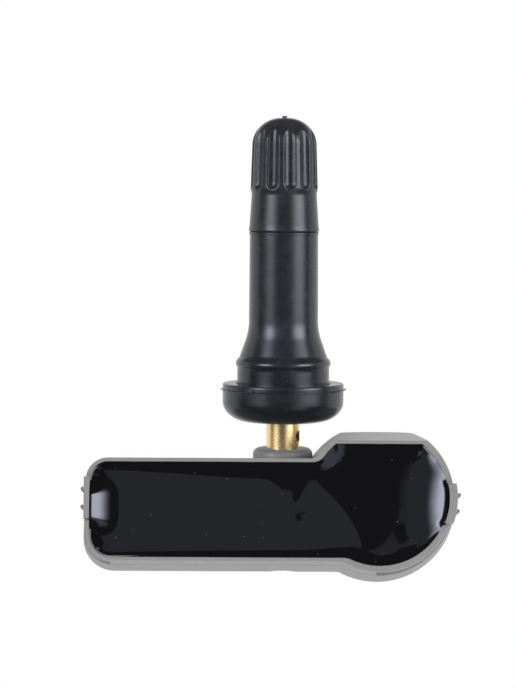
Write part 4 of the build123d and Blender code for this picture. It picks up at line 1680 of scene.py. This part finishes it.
@dataclass(frozen=True)
class LightPatch:
    """A patch of light in the surround with soft edges, placed as seen from the object.

    Its turn, in degrees to the right of the camera, and its rise, in degrees, each say where the patch
    starts, where it is full, where it is full no longer and where it ends.
    """

    turn: tuple[float, float, float, float]
    rise: tuple[float, float, float, float]
    level: float
    falloff: float = 1.0

    def light(self, turn: Signal, height: Signal) -> Signal:
        """The patch's light in a direction.

        Args:
            turn: The direction's angle to the right of the camera, in radians.
            height: The height of the direction's unit vector.

        Returns:
            How many times as bright as white it is.
        """
        start, full, last, end = (radians(angle) for angle in self.turn)
        across = turn.step(start, full) * turn.step(end, last)
        start, full, last, end = (sin(radians(angle)) for angle in self.rise)
        return (across * height.step(start, full) * height.step(end, last)) ** self.falloff * self.level


LEFT_SOFTBOX = LightPatch((-82, -50, -44, -9), (-16, 13, 21, 46), 10.0, 3.0)
RIGHT_SOFTBOX = LightPatch((9, 48, 62, 90), (-21, 10, 21, 46), 9.0, 3.0)
FRONT_PANEL = LightPatch((-36, -30, 3.0, 5.4), (10.6, 11.4, 28, 32), 0.4)
UPPER_PANEL = LightPatch((-60, -50, -12, -8), (27, 31, 42, 48), 0.4)
LEFT_TABLE = LightPatch((-80, -62, -40, -20), (-9, -7.5, -5, -3.5), 0.9)
RIGHT_TABLE = LightPatch((8, 27, 42, 54), (-34, -26, -6, 0), 0.9)


def aim(thing: bpy.types.Object, at: Sequence[float], target: Sequence[float]) -> None:
    """Place a camera or lamp and point it.

    Args:
        thing: What is placed.
        at: Its place, in millimetres.
        target: What it points at, in millimetres.
    """
    thing.location = Vector(at) * MM
    thing.rotation_euler = (Vector(target) - Vector(at)).to_track_quat("-Z", "Y").to_euler()


@dataclass(frozen=True)
class FillLamp:
    """A lamp with a large face that points at the object and isn't mirrored in it.

    Its turn, in degrees to the right of the camera, and its rise, in degrees, are as seen from the object.
    Its width and height and its distance are in millimetres, and its level says how many times as bright as
    white its face is.
    """

    name: str
    turn: float
    rise: float
    size: Point
    level: float
    away: float

    def hang(self) -> None:
        """Hang the lamp."""
        data = bpy.data.lights.new(self.name, "AREA")
        data.shape = "RECTANGLE"
        data.size, data.size_y = (side * MM for side in self.size)
        data.energy = self.level * pi * data.size * data.size_y
        lamp = bpy.data.objects.new(self.name, data)
        bpy.context.scene.collection.objects.link(lamp)
        side, lift = radians(self.turn), radians(self.rise)
        way = Vector((sin(side) * cos(lift), -cos(side) * cos(lift), sin(lift)))
        lamp.visible_camera = False
        lamp.visible_glossy = False
        aim(lamp, way * self.away, (0.0, 0.0, 0.0))


PATCHES = (LEFT_SOFTBOX, RIGHT_SOFTBOX, FRONT_PANEL, UPPER_PANEL, LEFT_TABLE, RIGHT_TABLE)
LAMPS = (
    FillLamp("left_fill", -55.0, 26.0, (620.0, 620.0), 2.15, 700.0),
    FillLamp("right_fill", 60.0, 26.0, (620.0, 620.0), 2.45, 700.0),
    FillLamp("overhead_fill", 180.0, 72.0, (900.0, 700.0), 1.6, 600.0),
    FillLamp("table_fill", 10.0, -62.0, (520.0, 300.0), 1.7, 220.0),
    FillLamp("back_fill", 180.0, 5.0, (900.0, 600.0), 2.3, 600.0),
)


@dataclass
class Studio:
    """Pale floor, white surround with soft patches of light, and the camera."""

    patches: tuple[LightPatch, ...] = PATCHES
    lamps: tuple[FillLamp, ...] = LAMPS
    back_edge: Point = (0.0, 0.12)
    back_top: Point = (0.6, 0.35)
    back_foot: Point = (-0.75, -0.4)
    ceiling_edge: Point = (-0.1, 0.3)
    ceiling_foot: Point = (0.35, 0.8)
    ceiling_level: float = 0.15
    room_level: float = 0.1
    camera_at: tuple[float, float, float] = (-4.03, -400.0, 31.4)
    looks_at: tuple[float, float, float] = (-4.03, 0.0, 6.2)
    camera_roll: float = 0.3
    lens: float = 131.9
    sensor: float = 36.0
    view_range: Point = (0.01, 20.0)
    floor_z: float = -600.0
    floor_r: float = 800.0
    floor_steps: int = 96
    floor_crease: float = 30.0
    floor_fade: Point = (0.65, 1.05)
    floor_grey: float = 0.86

    def build(self) -> None:
        """Set up the camera, the surround, the lamps and the floor."""
        self.set_camera()
        self.set_surround()
        for lamp in self.lamps:
            lamp.hang()
        self.lay_floor()

    def set_camera(self) -> None:
        """Stand the camera where the photograph was taken."""
        data = bpy.data.cameras.new("camera")
        data.lens = self.lens
        data.sensor_width = self.sensor
        data.clip_start, data.clip_end = self.view_range
        camera = bpy.data.objects.new("camera", data)
        bpy.context.scene.collection.objects.link(camera)
        aim(camera, self.camera_at, self.looks_at)
        camera.rotation_euler.rotate_axis("Z", radians(self.camera_roll))
        bpy.context.scene.camera = camera

    def set_surround(self) -> None:
        """White surround for the camera, and the patches of light that gloss mirrors."""
        world = bpy.data.worlds.new("surround")
        bpy.context.scene.world = world
        world.cycles_visibility.diffuse = False
        world.use_nodes = True
        tree = ShaderTree(world.node_tree)
        way = tree.add("ShaderNodeTexCoord", output="Generated")
        x = tree.add("ShaderNodeSeparateXYZ", None, {0: way}, "X")
        y, z = x.sibling("Y"), x.sibling("Z")
        behind = y.step(*self.back_edge) * z.step(*self.back_top) * z.step(*self.back_foot)
        above = z.step(*self.ceiling_foot) * y.step(*self.ceiling_edge) * self.ceiling_level
        level = behind.most(above).most(self.room_level)
        turn = x.bearing(0.0 - y)
        for patch in self.patches:
            level = level.most(patch.light(turn, z))
        path = tree.add("ShaderNodeLightPath", output="Is Camera Ray")
        mirrored = path.sibling("Is Glossy Ray").most(path.sibling("Is Transmission Ray"))
        shown = path.most(mirrored * behind)
        sockets = {"Color": (1.0, 1.0, 1.0, 1.0), "Strength": level.most(shown)}
        light = tree.add("ShaderNodeBackground", None, sockets)
        tree.add("ShaderNodeOutputWorld", None, {"Surface": light})
        bpy.context.scene.view_settings.view_transform = "Standard"

    def lay_floor(self) -> None:
        """Lay a pale round floor well below the object, fading into the surround at its edge."""
        rings = np.array([(share * self.floor_r, self.floor_z) for share in (0.0, 0.5, 1.0)])
        floor = turned_mesh("floor", *spun(rings, self.floor_steps), False, self.floor_crease)
        paint = bpy.data.materials.new("floor_paint")
        paint.use_nodes = True
        tree = ShaderTree(paint.node_tree)
        away = tree.add("ShaderNodeVectorMath", {"operation": "LENGTH"}, {0: tree.place()}, "Value")
        fade = away.step(*(self.floor_r * share for share in self.floor_fade))
        grey = (*(self.floor_grey,) * 3, 1.0)
        sheet = tree.add("ShaderNodeBsdfDiffuse", None, {"Color": grey})
        path = tree.add("ShaderNodeLightPath", output="Is Camera Ray")
        seen = path.most(path.sibling("Is Glossy Ray")).most(path.sibling("Is Transmission Ray"))
        white = tree.add("ShaderNodeEmission", None, {"Strength": 1.0})
        mixed = tree.add("ShaderNodeMixShader", None, {0: seen * fade, 1: sheet, 2: white})
        tree.add("ShaderNodeOutputMaterial", None, {"Surface": mixed})
        floor.data.materials.append(paint)
        floor.visible_glossy = False


def main() -> None:
    """Build the scene: studio, valve, cup and electronics."""
    logging.basicConfig(level=logging.INFO, format="%(name)s: %(message)s")
    Studio().build()
    SnapInValve(RubberValve(), BrassStem(), CoilSpring(), FlutedCap()).build()
    SensorCup(PottedFace()).build()
    Electronics().build()


if __name__ == "__main__":
    main()
